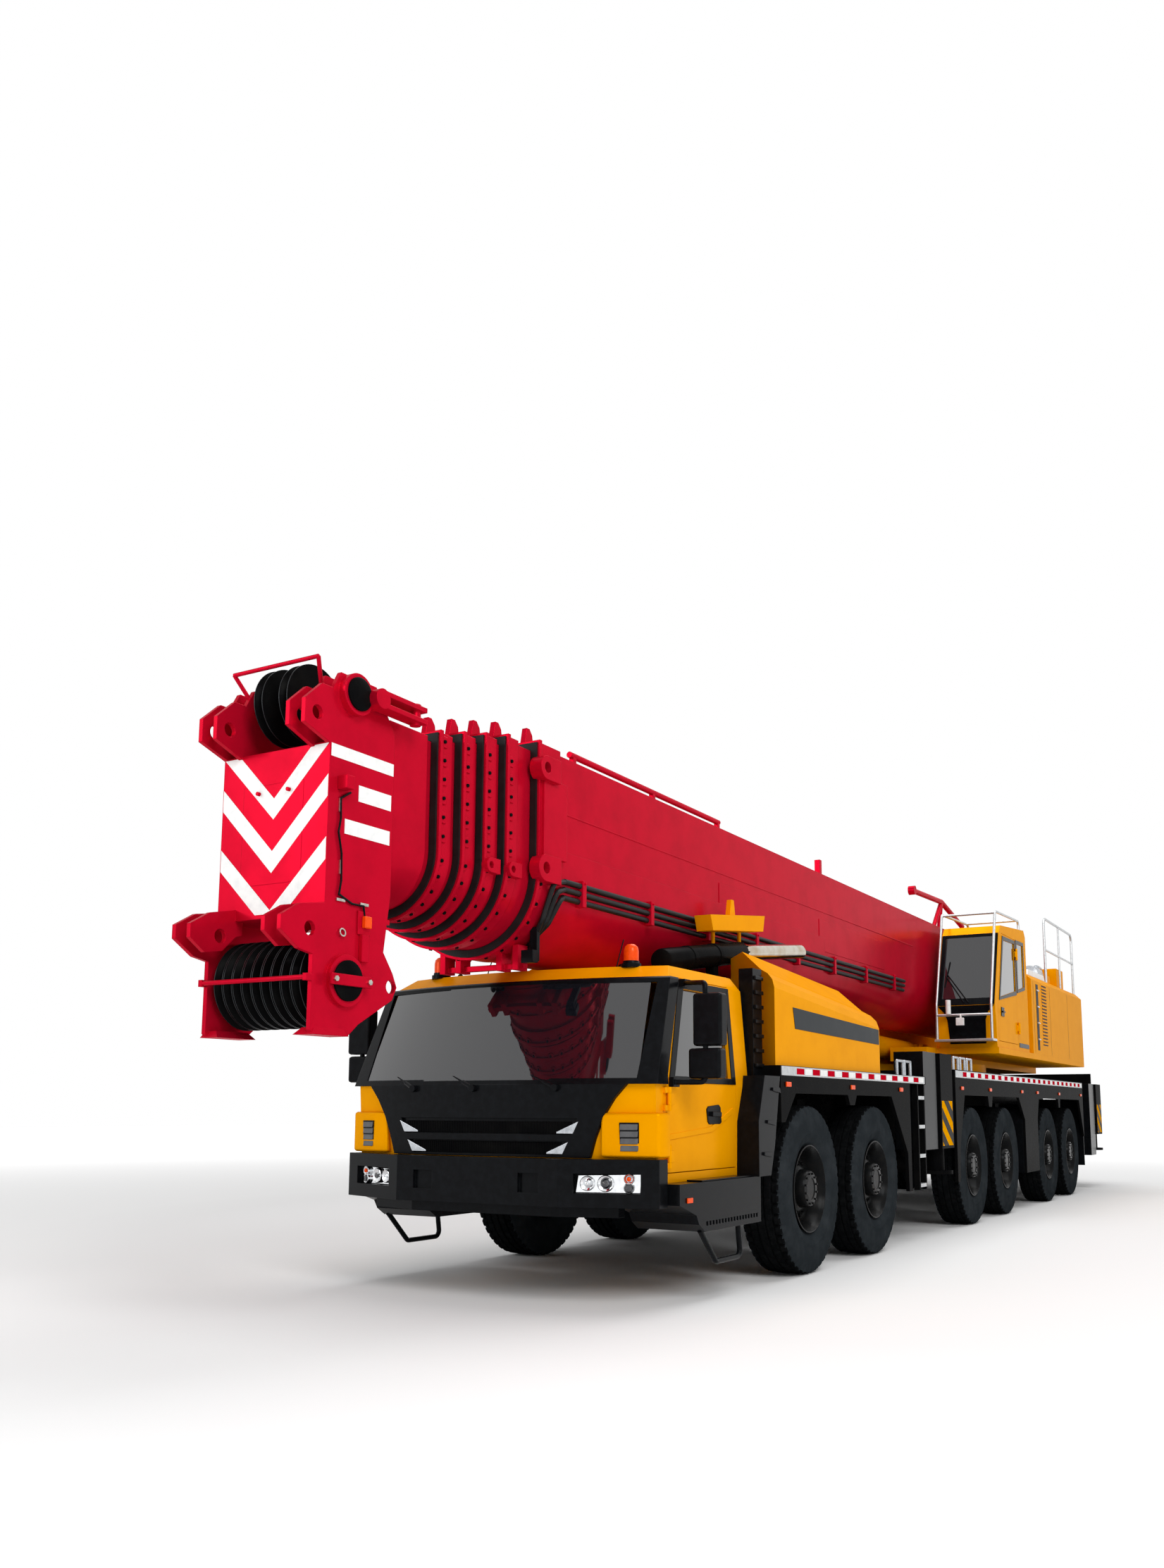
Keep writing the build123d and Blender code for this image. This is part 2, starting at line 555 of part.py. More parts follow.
lamp_pocket = plan_plate([corner_point(0.16, 20), corner_point(0.82, 20), corner_point(0.82, -LAMP_DEPTH),
                          corner_point(0.16, -LAMP_DEPTH)], LAMP_Z)
hatch = block((AXLE_1_X + 2650, AXLE_1_X + 2700), (CAB_HALF_WIDTH - 930, CAB_HALF_WIDTH - 760), (765, 895))
CHIN_HALF = [(2385, BUMPER_Y - 300), (2470, BUMPER_Y - 300), (2610, BUMPER_Y - 750)]
chin = plan_plate([(AXLE_1_X + px, -py) for px, py in CHIN_HALF]
                  + [(AXLE_1_X + px, py) for px, py in reversed(CHIN_HALF)],
                  (BUMPER_Z[0] - 70, BUMPER_Z[0] + 1)) - cab_outer
chin -= block((0, NOSE_FRONT_X), (-FRAME_HALF_WIDTH, FRAME_HALF_WIDTH), (0, CAB_BOTTOM))
bumper += chin
for cut in both_sides(lamp_pocket) + both_sides(hatch):
    bumper -= cut
MASK_EDGE = [(z, CAB_HALF_WIDTH - inset) for z, inset in
             ((1000, 450), (1130, 410), (1276, 350), (1400, 270), (1500, 180), (1560, 100))]
mask_front = extrude(make_face(Polyline(*(
    [(AXLE_1_X + 2200, y, z) for z, y in MASK_EDGE]
    + [(AXLE_1_X + 2200, -y, z) for z, y in reversed(MASK_EDGE)]), close=True)), amount=600, dir=(1, 0, 0))
pillars = side_plate(at_front([(2275, 1500), (2275, 1560), (1995, 2262), (2800, 2262), (2800, 1500)]),
                     (-CAB_HALF_WIDTH - 100, CAB_HALF_WIDTH + 100))
mask = (cab_body(-MASK_THICKNESS) - cab_outer) & (mask_front + pillars)
mask -= windscreen_zone
for z, half in ((GRILLE_Z[0], CAB_HALF_WIDTH - 660), (GRILLE_Z[1], CAB_HALF_WIDTH - 580)):
    slot = extrude(make_face(Polyline((AXLE_1_X + 2200, -half, z[0]), (AXLE_1_X + 2200, half, z[0]),
                                      (AXLE_1_X + 2200, half + 50, z[1]), (AXLE_1_X + 2200, -half - 50, z[1]),
                                      close=True)), amount=600, dir=(1, 0, 0))
    mask -= slot - cab_body(-MASK_THICKNESS / 3)
save("front_bumper", [bumper - mask, mask])

# Engine covers: a tapering shell each side of the boom's trough.
HOOD_X = (AXLE_1_X - 1960, AXLE_1_X + 640)
HOOD_SHELL = 40
HOOD_OUTER_Y = DECK_HALF_WIDTH - 45
HOOD_INNER_Y = 860


def hood_face(x, shoulder, ridge, inset):
    low = FRONT_DECK_TOP - (100 if inset else 0)
    points = [(HOOD_OUTER_Y - inset, low), (HOOD_OUTER_Y - inset, shoulder - 60 - inset),
              (HOOD_OUTER_Y - 25 - inset, shoulder + 10 - inset),
              (HOOD_OUTER_Y - 80 - inset, shoulder + 65 - inset),
              (HOOD_OUTER_Y - 170 - inset, shoulder + 115 - inset),
              (HOOD_INNER_Y + 160, ridge - inset), (HOOD_INNER_Y + inset, ridge - 30 - inset),
              (HOOD_INNER_Y + inset, low)]
    return make_face(Polyline(*[(x, py, pz) for py, pz in points], close=True))


def hood_body(inset):
    body = loft([hood_face(HOOD_X[0] + inset, 2175, 2500, inset),
                 hood_face(HOOD_X[1] - inset, 2360, 2660, inset)], ruled=True)
    nook = plan_plate([(HOOD_X[1] - inset * 2, HOOD_OUTER_Y), (HOOD_X[1] + 50, HOOD_OUTER_Y),
                       (HOOD_X[1] + 50, HOOD_INNER_Y - 50), (HOOD_X[1] - 450 - inset * 2, HOOD_INNER_Y - 50)],
                      (FRONT_DECK_TOP - 200, 2900))
    return body - nook


hood = hood_body(0) - hood_body(HOOD_SHELL)
save("engine_hood", both_sides(hood))
ENGINE_X = (AXLE_1_X - 1700, AXLE_1_X + 350)
save("engine_block", [block(ENGINE_X, (-560, 560), (FRONT_DECK_TOP, 2280))])

# Exhaust on the left: muffler on a post, then a rising tail pipe.
EXHAUST_Y = 755
MUFFLER_RADIUS = 98
PIPE_RADIUS = 70
muffler_front = (AXLE_1_X + 1310, EXHAUST_Y, 2480)
muffler_rear = (AXLE_1_X - 200, EXHAUST_Y, 2710)
pipe_end = (AXLE_1_X - 1650, EXHAUST_Y, 2880)
exhaust = rod(muffler_front, muffler_rear, MUFFLER_RADIUS)
exhaust += rod(muffler_rear, pipe_end, PIPE_RADIUS)
exhaust += block((AXLE_1_X + 340, AXLE_1_X + 420), (EXHAUST_Y - 40, EXHAUST_Y + 40),
                 (FRONT_DECK_TOP, 2600))
save("exhaust", [exhaust])

# Black trim round the cab: step boxes, hoop steps, fenders and the intake column.
fittings = []
step_box = side_plate(at_front([(960, CAB_BOTTOM), (2310, CAB_BOTTOM), (2310, 690), (2060, 610), (2020, 545),
                               (1930, 490), (960, 490)]), (DECK_HALF_WIDTH - 575, DECK_HALF_WIDTH - 45))
HOOP_Y = DECK_HALF_WIDTH - 85
hoop = bent_tube([(AXLE_1_X + 1930, HOOP_Y, 500), (AXLE_1_X + 1680, HOOP_Y, 265),
                  (AXLE_1_X + 1260, HOOP_Y, 265), (AXLE_1_X + 1300, HOOP_Y, 500)], 20, 50)
fender = side_plate(at_front([(660, 1590), (960, 1590), (1085, 1240), (1085, 830), (860, 830),
                              (780, 1050)]), (DECK_HALF_WIDTH - 275, DECK_HALF_WIDTH)) - cab_outer
for shape in (step_box + hoop, fender):
    fittings += both_sides(shape)
fittings.append(block((AXLE_1_X + 665, AXLE_1_X + 840), (DECK_HALF_WIDTH - 265, DECK_HALF_WIDTH - 145),
                      (1590, 2440)))
save("cab_fittings", fittings)

# Ladders between the skirts and the outrigger housings, hanging from the deck.
LADDER_X = (AXLE_1_X - 3310, AXLE_1_X - 3080)
LADDER_BOTTOM = 510
LADDER_Y = (DECK_HALF_WIDTH - 75, DECK_HALF_WIDTH - 15)
ladder = joined([block((x - 15, x + 15), LADDER_Y, (LADDER_BOTTOM, FRONT_DECK_BOTTOM)) for x in LADDER_X])
for step in range(4):
    z = LADDER_BOTTOM + 30 + step * 300
    ladder += block((LADDER_X[0], LADDER_X[1]), (LADDER_Y[0] + 5, LADDER_Y[1] - 5), (z, z + 30))
save("ladders", both_sides(ladder))

# Hook block stowed on two posts beside the boom.
hook_block = side_plate(at_front([(420, 2830), (470, 2960), (-680, 3100), (-640, 2950)]), (635, 790))
hook_block += side_plate(at_front([(-30, 3000), (-70, 3170), (-120, 3170), (-150, 3020)]), (690, 735))
for x in (100, -450):
    hook_block += rod((AXLE_1_X + x, 632, FRONT_DECK_TOP), (AXLE_1_X + x, 632, 2960), 18)
save("hook_block", [hook_block])

# Turntable: slewing ring, bed with a slot for the lift cylinder, cheeks for the boom.
RING_BOTTOM = BED_BOTTOM - SLEW_GAP - 150 + PAD_CLEARANCE
CHEEK_OUTER_Y = CHEEK_INNER_Y + CHEEK_THICKNESS
BED_SLOT = 180
LUG_Y = (BED_SLOT, BED_SLOT + 60)
ring = rod((SLEW_X, 0, RING_BOTTOM), (SLEW_X, 0, BED_BOTTOM + 1), SLEW_RADIUS - 50)
spine_bed = block((BED_REAR_X, BED_FRONT_X - 250), (-CHEEK_OUTER_Y, CHEEK_OUTER_Y),
                  (BED_BOTTOM, BED_TOP))
wing = plan_plate([(BED_REAR_X, -UPPER_HALF_WIDTH), (POWER_FRONT_X, -UPPER_HALF_WIDTH),
                   (POWER_FRONT_X, CHEEK_OUTER_Y), (OP_CAB_FRONT_X, CHEEK_OUTER_Y),
                   (OP_CAB_FRONT_X, UPPER_HALF_WIDTH), (BED_REAR_X, UPPER_HALF_WIDTH)],
                  (BED_TOP - 80, BED_TOP))
turntable = joined([ring, spine_bed, wing])
turntable -= block((LIFT_FOOT_X - 250, BED_FRONT_X), (-BED_SLOT, BED_SLOT), (BED_BOTTOM, BED_TOP + 1))
cheek = side_plate(at_front([(-12600, BED_TOP - 1), (-12600, 2950), (-11500, 3080),
                             (-10700, 3250), (-9700, 3250), (-8300, 2600), (-6900, 2300),
                             (-6900, BED_TOP - 1)]), (CHEEK_INNER_Y, CHEEK_OUTER_Y))
foot_lug = side_plate([(LIFT_FOOT_X - 170, BED_BOTTOM + 1), (LIFT_FOOT_X - 170, BED_TOP),
                       (LIFT_FOOT_X - 100, LIFT_FOOT_Z + 110), (LIFT_FOOT_X + 100, LIFT_FOOT_Z + 110),
                       (LIFT_FOOT_X + 170, BED_TOP), (LIFT_FOOT_X + 170, BED_BOTTOM + 1)], LUG_Y)
for shape in both_sides(cheek) + both_sides(foot_lug):
    turntable += shape
turntable -= cross_rod(BOOM_PIVOT_X, BOOM_PIVOT_Z, (-800, 800), TRUNNION_RADIUS + TRUNNION_CLEARANCE)
turntable -= cross_rod(WINCH_X, WINCH_Z, (-800, 800), 60 + TRUNNION_CLEARANCE)
turntable += cross_rod(LIFT_FOOT_X, LIFT_FOOT_Z, (-LUG_Y[1], LUG_Y[1]), LIFT_PIN_RADIUS)
save("turntable", [turntable])

# Winch: drum and flanges on a shaft between the cheeks.
drum_half = CHEEK_INNER_Y - 20
winch = cross_rod(WINCH_X, WINCH_Z, (-drum_half, drum_half), WINCH_RADIUS)
for y in (-drum_half, drum_half - 30):
    winch += cross_rod(WINCH_X, WINCH_Z, (y, y + 30), WINCH_RADIUS + 50)
winch += cross_rod(WINCH_X, WINCH_Z, (-CHEEK_OUTER_Y, CHEEK_OUTER_Y), 60)
save("winch_drum", [winch])

# Operator's cab: raked shell with windows, standing on the left of the bed.
OP_OUTLINE = at_front([(-6680, BED_TOP), (-6620, 2690), (-6990, 3680), (-7100, 3790),
                       (-8500, OP_CAB_TOP), (-8590, 3800), (-8590, BED_TOP)])


def op_prism(inset):
    """The operator cab's volume, drawn in by an inset on all sides."""
    wire = Polyline(*[(px, OP_CAB_INNER_Y + inset, pz) for px, pz in OP_OUTLINE], close=True)
    face = make_face(wire)
    if inset:
        face = offset(face, -inset, kind=Kind.INTERSECTION)
    return extrude(face, amount=OP_CAB_OUTER_Y - OP_CAB_INNER_Y - 2 * inset, dir=(0, 1, 0))


def op_side_zone(points, y):
    return side_plate(at_front(points), y)


OP_DOOR = [(-6790, 2230), (-6790, 2760), (-7120, 3680), (-7900, 3680), (-7900, 2230)]
OP_DOOR_CUT = [(-6790 + DOOR_GAP, 2230 - DOOR_GAP), (-6790 + DOOR_GAP, 2760 + DOOR_GAP),
               (-7120 + DOOR_GAP, 3680 + DOOR_GAP), (-7900 - DOOR_GAP, 3680 + DOOR_GAP),
               (-7900 - DOOR_GAP, 2230 - DOOR_GAP)]
LEFT_WALL = (OP_CAB_OUTER_Y - OP_CAB_WALL - 5, OP_CAB_OUTER_Y + 5)
RIGHT_WALL = (OP_CAB_INNER_Y - 5, OP_CAB_INNER_Y + OP_CAB_WALL + 5)
op_wall = op_prism(0) - op_prism(OP_CAB_WALL)
front_zone = block((AXLE_1_X - 7050, AXLE_1_X - 6500),
                   (OP_CAB_INNER_Y + 80, OP_CAB_OUTER_Y - 80), (2780, 3640))
lower_zone = block((AXLE_1_X - 6760, AXLE_1_X - 6500),
                   (OP_CAB_INNER_Y + 180, OP_CAB_OUTER_Y - 180), (2310, 2660))
right_zone = op_side_zone([(-6850, 2780), (-8350, 2780), (-8350, 3640), (-7160, 3640)], RIGHT_WALL)
rear_quarter_zone = op_side_zone([(-8000, 2990), (-8380, 3060), (-8380, 3650), (-8000, 3640)],
                                 LEFT_WALL)
op_cab = op_wall - front_zone - lower_zone - right_zone - rear_quarter_zone
op_cab -= op_side_zone(OP_DOOR_CUT, LEFT_WALL)
OP_HINGE_X = AXLE_1_X - 7900 - DOOR_GAP / 2
OP_HINGE_Y = OP_CAB_OUTER_Y + 20


def op_hinge(z, half_height, x):
    leaf_x = sorted((OP_HINGE_X, x))
    leaf = block(leaf_x, (OP_CAB_OUTER_Y - 10, OP_HINGE_Y), (z - half_height, z + half_height))
    return leaf + rod((OP_HINGE_X, OP_HINGE_Y, z - half_height),
                      (OP_HINGE_X, OP_HINGE_Y, z + half_height), HINGE_RADIUS)


op_door = (op_wall & op_side_zone(OP_DOOR, LEFT_WALL))
op_door -= op_side_zone([(-6920, 2810), (-7200, 3600), (-7830, 3620), (-7830, 2960)],
                        (OP_CAB_OUTER_Y - 100, OP_CAB_OUTER_Y + 100))
for z in (2450, 3480):
    op_door += op_hinge(z, 40, OP_HINGE_X + 65)
    for step in (1, -1):
        op_cab += op_hinge(z + step * (60 + HINGE_GAP), 20, OP_HINGE_X - 60)
save("operator_cab", [op_cab])
save("operator_cab_door", [op_door])
op_glass = [(op_prism(12) - op_prism(12 + GLASS_THICKNESS)) & zone
            for zone in (front_zone, lower_zone, right_zone, rear_quarter_zone)]
save("operator_cab_glass", op_glass)

# Power pack on the left and oil tank on the right of the boom.
PACK_INNER_Y = CHEEK_OUTER_Y + 50


def upper_box(front, rear, top):
    """Side housing with a sloped upper outer edge."""
    points = [(PACK_INNER_Y, BED_TOP), (PACK_INNER_Y, top), (UPPER_HALF_WIDTH - 90, top),
              (UPPER_HALF_WIDTH, top - 90), (UPPER_HALF_WIDTH, BED_TOP)]
    face = make_face(Polyline(*[(rear, py, pz) for py, pz in points], close=True))
    return extrude(face, amount=front - rear, dir=(1, 0, 0))


pack = upper_box(POWER_FRONT_X, BED_REAR_X, POWER_TOP)
tank = mirror(upper_box(POWER_FRONT_X, BED_REAR_X + 900, POWER_TOP - 60), about=Plane.XZ)
save("power_pack", [pack, tank])
RAIL_Y = UPPER_HALF_WIDTH - 110
rail = bent_tube([(AXLE_1_X - 10450, RAIL_Y, POWER_TOP), (AXLE_1_X - 10450, RAIL_Y, 4340),
                  (BED_REAR_X + 60, RAIL_Y, 4340), (BED_REAR_X + 60, RAIL_Y, POWER_TOP)], 20, 120)
rail += rod((AXLE_1_X - 10450, RAIL_Y, 3840), (BED_REAR_X + 60, RAIL_Y, 3840), 16)
rail += rod((AXLE_1_X - 11600, RAIL_Y, POWER_TOP), (AXLE_1_X - 11600, RAIL_Y, 4340), 16)
GUARD_TUBE = 17
cab_guards = []
for y in (OP_CAB_INNER_Y + 25, OP_CAB_OUTER_Y - 25):
    cab_guards.append(bent_tube([(AXLE_1_X - 6510, y, BED_TOP + 100), (AXLE_1_X - 6510, y, 2700),
                                 (AXLE_1_X - 6920, y, 3960), (AXLE_1_X - 8300, y, 4000),
                                 (AXLE_1_X - 8300, y, OP_CAB_TOP - 30)], GUARD_TUBE, 60))
for x, z in ((-6510, 2560), (-6925, 3943), (-8200, 3998)):
    cab_guards.append(cross_rod(AXLE_1_X + x, z, (OP_CAB_INNER_Y + 25, OP_CAB_OUTER_Y - 25), GUARD_TUBE))
step_plate = block((AXLE_1_X - 6680, AXLE_1_X - 6460), (OP_CAB_INNER_Y, OP_CAB_OUTER_Y),
                   (BED_TOP + 75, BED_TOP + 105))
op_guard = joined([step_plate] + cab_guards) - op_prism(0)
save("superstructure_rails", [rail, op_guard])


# Telescopic boom: nested tubes with a flat top and a round belly, each with a collar at
# its front that guides the next one.
def boom_prism(rear, front, inset):
    """Boom-shaped bar between two stations, drawn in by an inset."""
    half = BOOM_HALF_WIDTH - inset
    top = BOOM_TOP - inset
    upper = Polyline((rear, half, BOOM_BELLY_CENTRE), (rear, half, top), (rear, -half, top),
                     (rear, -half, BOOM_BELLY_CENTRE))
    belly = ThreePointArc((rear, -half, BOOM_BELLY_CENTRE), (rear, 0, BOOM_BELLY_CENTRE - half),
                          (rear, half, BOOM_BELLY_CENTRE))
    return extrude(make_face(upper + belly), amount=front - rear, dir=(1, 0, 0))


def boom_tube(number, rear, front):
    """Section tube with its collar; number 0 is the base."""
    inset = number * BOOM_STEP
    tube = boom_prism(rear, front, inset) - boom_prism(rear - 1, front + 1, inset + BOOM_WALL)
    collar_rear = front - COLLAR_LENGTHS[number]
    inner = inset + BOOM_STEP - PAD_CLEARANCE
    collar = boom_prism(collar_rear, front, inset - COLLAR_RISE)
    rim = boom_prism(front - 30, front, inset - COLLAR_RISE - 14)
    top = BOOM_TOP - inset
    fin = side_plate([(front - 125, top), (front - 105, top + FIN_RISE - 40), (front - 70, top + FIN_RISE),
                      (front - 35, top + FIN_RISE), (front - 5, top)], (FIN_Y - 20, FIN_Y + 20))
    fin = fin.moved(Location((0, -inset, 0)))
    collar = joined([collar, rim] + both_sides(fin)) - boom_prism(collar_rear - 1, front + 1, inner)
    return tube + collar


def side_lug(x, z, radius, hole, y):
    """Round-ended lug with a hole, standing out from the left flank and rooted rearwards."""
    lug = cross_rod(x, z, y, radius) + block((x - radius * 2, x), y, (z - radius, z + radius))
    return lug - cross_rod(x, z, (y[0] - 1, y[1] + 1), hole)


base = boom_tube(0, BOOM_REAR_X, COLLAR_FRONTS[0])
base -= side_plate([(BOOM_REAR_X - 1, 2300), (BOOM_REAR_X - 1, BOOM_PIVOT_Z - 250),
                    (BOOM_PIVOT_X + 500, 2300)], (-700, 700))
for trunnion in both_sides(cross_rod(BOOM_PIVOT_X, BOOM_PIVOT_Z,
                                     (BOOM_HALF_WIDTH - BOOM_WALL, CHEEK_OUTER_Y), TRUNNION_RADIUS)):
    base += trunnion
EYE_LUG_Y = (BED_SLOT, BED_SLOT + 50)
belly_z = BOOM_BELLY_CENTRE - BOOM_HALF_WIDTH
eye_lug = side_plate([(LIFT_EYE_X - 420, belly_z + 180), (LIFT_EYE_X - 90, LIFT_EYE_Z - 90),
                      (LIFT_EYE_X + 90, LIFT_EYE_Z - 90), (LIFT_EYE_X + 420, belly_z + 180)], EYE_LUG_Y)
eye_lug -= boom_prism(LIFT_EYE_X - 500, LIFT_EYE_X + 500, BOOM_WALL / 2)
for lug in both_sides(eye_lug):
    base += lug
ARM_Y = 300
ARM_PATH = [(-7000, 4350), (-8450, 4395), (-9600, 4170)]
top_arm = [rod((AXLE_1_X + a[0], ARM_Y, a[1]), (AXLE_1_X + b[0], ARM_Y, b[1]), 38)
           for a, b in zip(ARM_PATH, ARM_PATH[1:])]
top_arm += [rod((AXLE_1_X + px, ARM_Y, BOOM_TOP - 5), (AXLE_1_X - 8440, ARM_Y, 4380), 32)
            for px in (-7900, -8250)]
top_arm.append(cross_rod(AXLE_1_X - 7000, 4350, (ARM_Y - 45, ARM_Y + 45), 62))
top_arm.append(rod((AXLE_1_X - 9590, ARM_Y, BOOM_TOP - 5), (AXLE_1_X - 9590, ARM_Y, 4175), 36))
EDGE_Y = BOOM_HALF_WIDTH - 60
edge_rail = [rod((AXLE_1_X + 2250, EDGE_Y, BOOM_TOP + 75), (AXLE_1_X - 330, EDGE_Y, BOOM_TOP + 75), 24)]
edge_rail += [block((AXLE_1_X + px - 20, AXLE_1_X + px + 20), (EDGE_Y - 20, EDGE_Y + 20),
                    (BOOM_TOP - 5, BOOM_TOP + 75)) for px in (2200, 950, -300)]
edge_rail.append(block((AXLE_1_X - 2890, AXLE_1_X - 2830), (EDGE_Y - 25, EDGE_Y + 35),
                       (BOOM_TOP - 5, BOOM_TOP + 165)))
for shape in top_arm + edge_rail:
    base += shape
flank = BOOM_HALF_WIDTH + COLLAR_RISE - 2
base_front = COLLAR_FRONTS[0]
belly_plate = boom_prism(AXLE_1_X - 2840, base_front - COLLAR_LENGTHS[0] + 5, -BELLY_PLATE)
belly_plate -= boom_prism(AXLE_1_X - 2841, base_front, 0)
belly_plate -= block((AXLE_1_X - 3000, base_front + 10), (-900, 900), (BELLY_PLATE_TOP, BOOM_TOP + 100))
base_lugs = [side_lug(base_front - 20, 3700, 85, 40, (flank - 25, flank + 75)),
             side_lug(base_front - 40, 2990, 95, 42, (flank - 25, flank + 60)),
             block((base_front - 330, base_front - 30), (flank - 25, flank + 40), (3080, 3640))]
for shape in [belly_plate] + [side for lug in base_lugs for side in both_sides(lug)]:
    base += shape - boom_prism(BOOM_REAR_X, base_front, BOOM_WALL / 2)
save("boom_base", [base])
SECTION_REARS = [BOOM_REAR_X + 300 + number * SECTION_REAR_STEP for number in range(6)]
for number in range(1, 5):
    section = boom_tube(number, SECTION_REARS[number], COLLAR_FRONTS[number])
    if number in (1, 2):
        flank = BOOM_HALF_WIDTH - number * BOOM_STEP + COLLAR_RISE - 2
        for lug in both_sides(side_lug(COLLAR_FRONTS[number] - 45, 2930, 50, 24, (flank - 10, flank + 45))):
            section += lug - boom_prism(0, HEAD_TIP_X, number * BOOM_STEP)
    save(f"boom_section_{number + 1}", [section])

# Last section with the boom head: side plates with lugs, front plate and sheave pins.
HEAD_SIDE = at_front([(4150, 3600), (4330, 3850), (4640, 3850), (4700, 3740), (4790, 3740),
                      (4920, 3620), (4920, 3480), (4710, 3410), (4710, 2480), (4900, 2450),
                      (5040, 2370), (5040, 2290), (4900, 2200), (4790, 2180), (4790, 1760),
                      (4770, 1735), (4490, 1735), (4400, 1810), (4110, 1970), (4070, 2050),
                      (4110, 2130), (4200, 2250), (4150, 2600)])
LUG_HOLES = ((4820, 2320), (4820, 3560), (4125, 2050))
PIN_RADIUS = 50
last_inset = 5 * BOOM_STEP
tip_tube = boom_prism(SECTION_REARS[5], HEAD_REAR_X, last_inset) - boom_prism(
    SECTION_REARS[5] - 1, HEAD_REAR_X + 1, last_inset + BOOM_WALL)
tip_collar = boom_prism(HEAD_REAR_X - 370, HEAD_REAR_X, last_inset - COLLAR_RISE) - boom_prism(
    HEAD_REAR_X - 371, HEAD_REAR_X + 1, last_inset + BOOM_WALL)
head_side = side_plate(HEAD_SIDE, (HEAD_HALF_WIDTH - HEAD_PLATE, HEAD_HALF_WIDTH))
for px, pz in LUG_HOLES:
    head_side -= cross_rod(AXLE_1_X + px, pz, (0, 1000), LUG_BORE)
span = (-HEAD_HALF_WIDTH, HEAD_HALF_WIDTH)
bulkhead = block((HEAD_REAR_X, HEAD_REAR_X + 30), span, (2600, 3600))
front_plate = block((HEAD_FRONT_X - 30, HEAD_FRONT_X), span, (2445, 3410))
floor_plate = block((HEAD_REAR_X, HEAD_FRONT_X), span, (2420, 2450))
head_pins = [cross_rod(HEAD_PIN_X, z, span, PIN_RADIUS) for z in (LOWER_PIN_Z, UPPER_PIN_Z)]
INNER_PLATE_Y = (HEAD_HALF_WIDTH - 150, HEAD_HALF_WIDTH - 120)
upper_inner = side_plate(at_front([(4330, 3400), (4330, 3850), (4640, 3850), (4700, 3740), (4790, 3740),
                                   (4920, 3620), (4920, 3480), (4705, 3400)]), INNER_PLATE_Y)
lower_inner = side_plate(at_front([(4650, 2500), (4900, 2450), (5040, 2370), (5040, 2290), (4930, 2215),
                                   (4800, 2235), (4700, 2330), (4650, 2340)]), INNER_PLATE_Y)
head_top = block((HEAD_REAR_X + 100, HEAD_FRONT_X), span, (3390, 3420))
hubs = [cross_rod(HEAD_PIN_X, z, (HEAD_HALF_WIDTH - 1, HEAD_HALF_WIDTH + proud), radius)
        for z, radius, proud in ((LOWER_PIN_Z, 150, 26), (UPPER_PIN_Z, 125, 46))]
foot = loft([plan_face((4490, 4790), (HEAD_HALF_WIDTH - 130, HEAD_HALF_WIDTH + 12), 1735),
             plan_face((4520, 4760), (HEAD_HALF_WIDTH - 90, HEAD_HALF_WIDTH), 1776)], ruled=True)
LINK_Y = (HEAD_HALF_WIDTH + 20, HEAD_HALF_WIDTH + 120)
link = joined([cross_rod(AXLE_1_X + 4400, UPPER_PIN_Z, (HEAD_HALF_WIDTH - 1, LINK_Y[1]), 62)]
              + [block((AXLE_1_X + 3990, AXLE_1_X + 4420), LINK_Y, z) for z in ((3690, 3720), (3765, 3795))]
              + [rod((AXLE_1_X + 4045, LINK_Y[0] + 50, 3675), (AXLE_1_X + 4045, LINK_Y[0] + 50, 3810), 34)])
GUARD_Y = HEAD_HALF_WIDTH - 84
guard = cross_rod(AXLE_1_X + 4745, 3930, (-GUARD_Y, GUARD_Y), 13)
arm_foot = (AXLE_1_X + 4660, INNER_PLATE_Y[1] - 15, 3790)
guard_arms = both_sides(rod(arm_foot, (AXLE_1_X + 4745, GUARD_Y, 3930), 13))
rope_guard = cross_rod(AXLE_1_X + 4818, 2050, (-HEAD_HALF_WIDTH, HEAD_HALF_WIDTH), 14)
holder = block((AXLE_1_X + 4770, AXLE_1_X + 4832), (HEAD_HALF_WIDTH - HEAD_PLATE, HEAD_HALF_WIDTH),
               (2030, 2070))
head_parts = [tip_tube, tip_collar, bulkhead, front_plate, floor_plate, head_top, guard, rope_guard]
for shape in [head_side, foot, link, holder] + hubs:
    head_parts += both_sides(shape)
for shape in (upper_inner, lower_inner):
    for px, pz in LUG_HOLES:
        shape -= cross_rod(AXLE_1_X + px, pz, (0, 1000), LUG_BORE)
    head_parts += both_sides(shape)
head = joined(head_parts + guard_arms + head_pins)
save("boom_section_6", [head])


def sheave(y, z, radius):
    """Grooved sheave on a pin across the head."""
    half = SHEAVE_WIDTH / 2
    bore = PIN_RADIUS + SPINDLE_CLEARANCE
    outline = [(bore, -half), (radius, -half), (radius - 45, 0), (radius, half), (bore, half)]
    wire = Polyline(*[(r, 0, h) for r, h in outline], close=True)
    return Pos(HEAD_PIN_X, y, z) * Rot(90, 0, 0) * revolve(make_face(wire), axis=Axis.Z)


first = -(LOWER_SHEAVES - 1) / 2 * SHEAVE_PITCH
sheaves = [sheave(first + index * SHEAVE_PITCH, LOWER_PIN_Z, LOWER_SHEAVE_RADIUS)
           for index in range(LOWER_SHEAVES)]
sheaves += [sheave(y, UPPER_PIN_Z, UPPER_SHEAVE_RADIUS) for y in UPPER_SHEAVE_Y]
save("head_sheaves", sheaves)

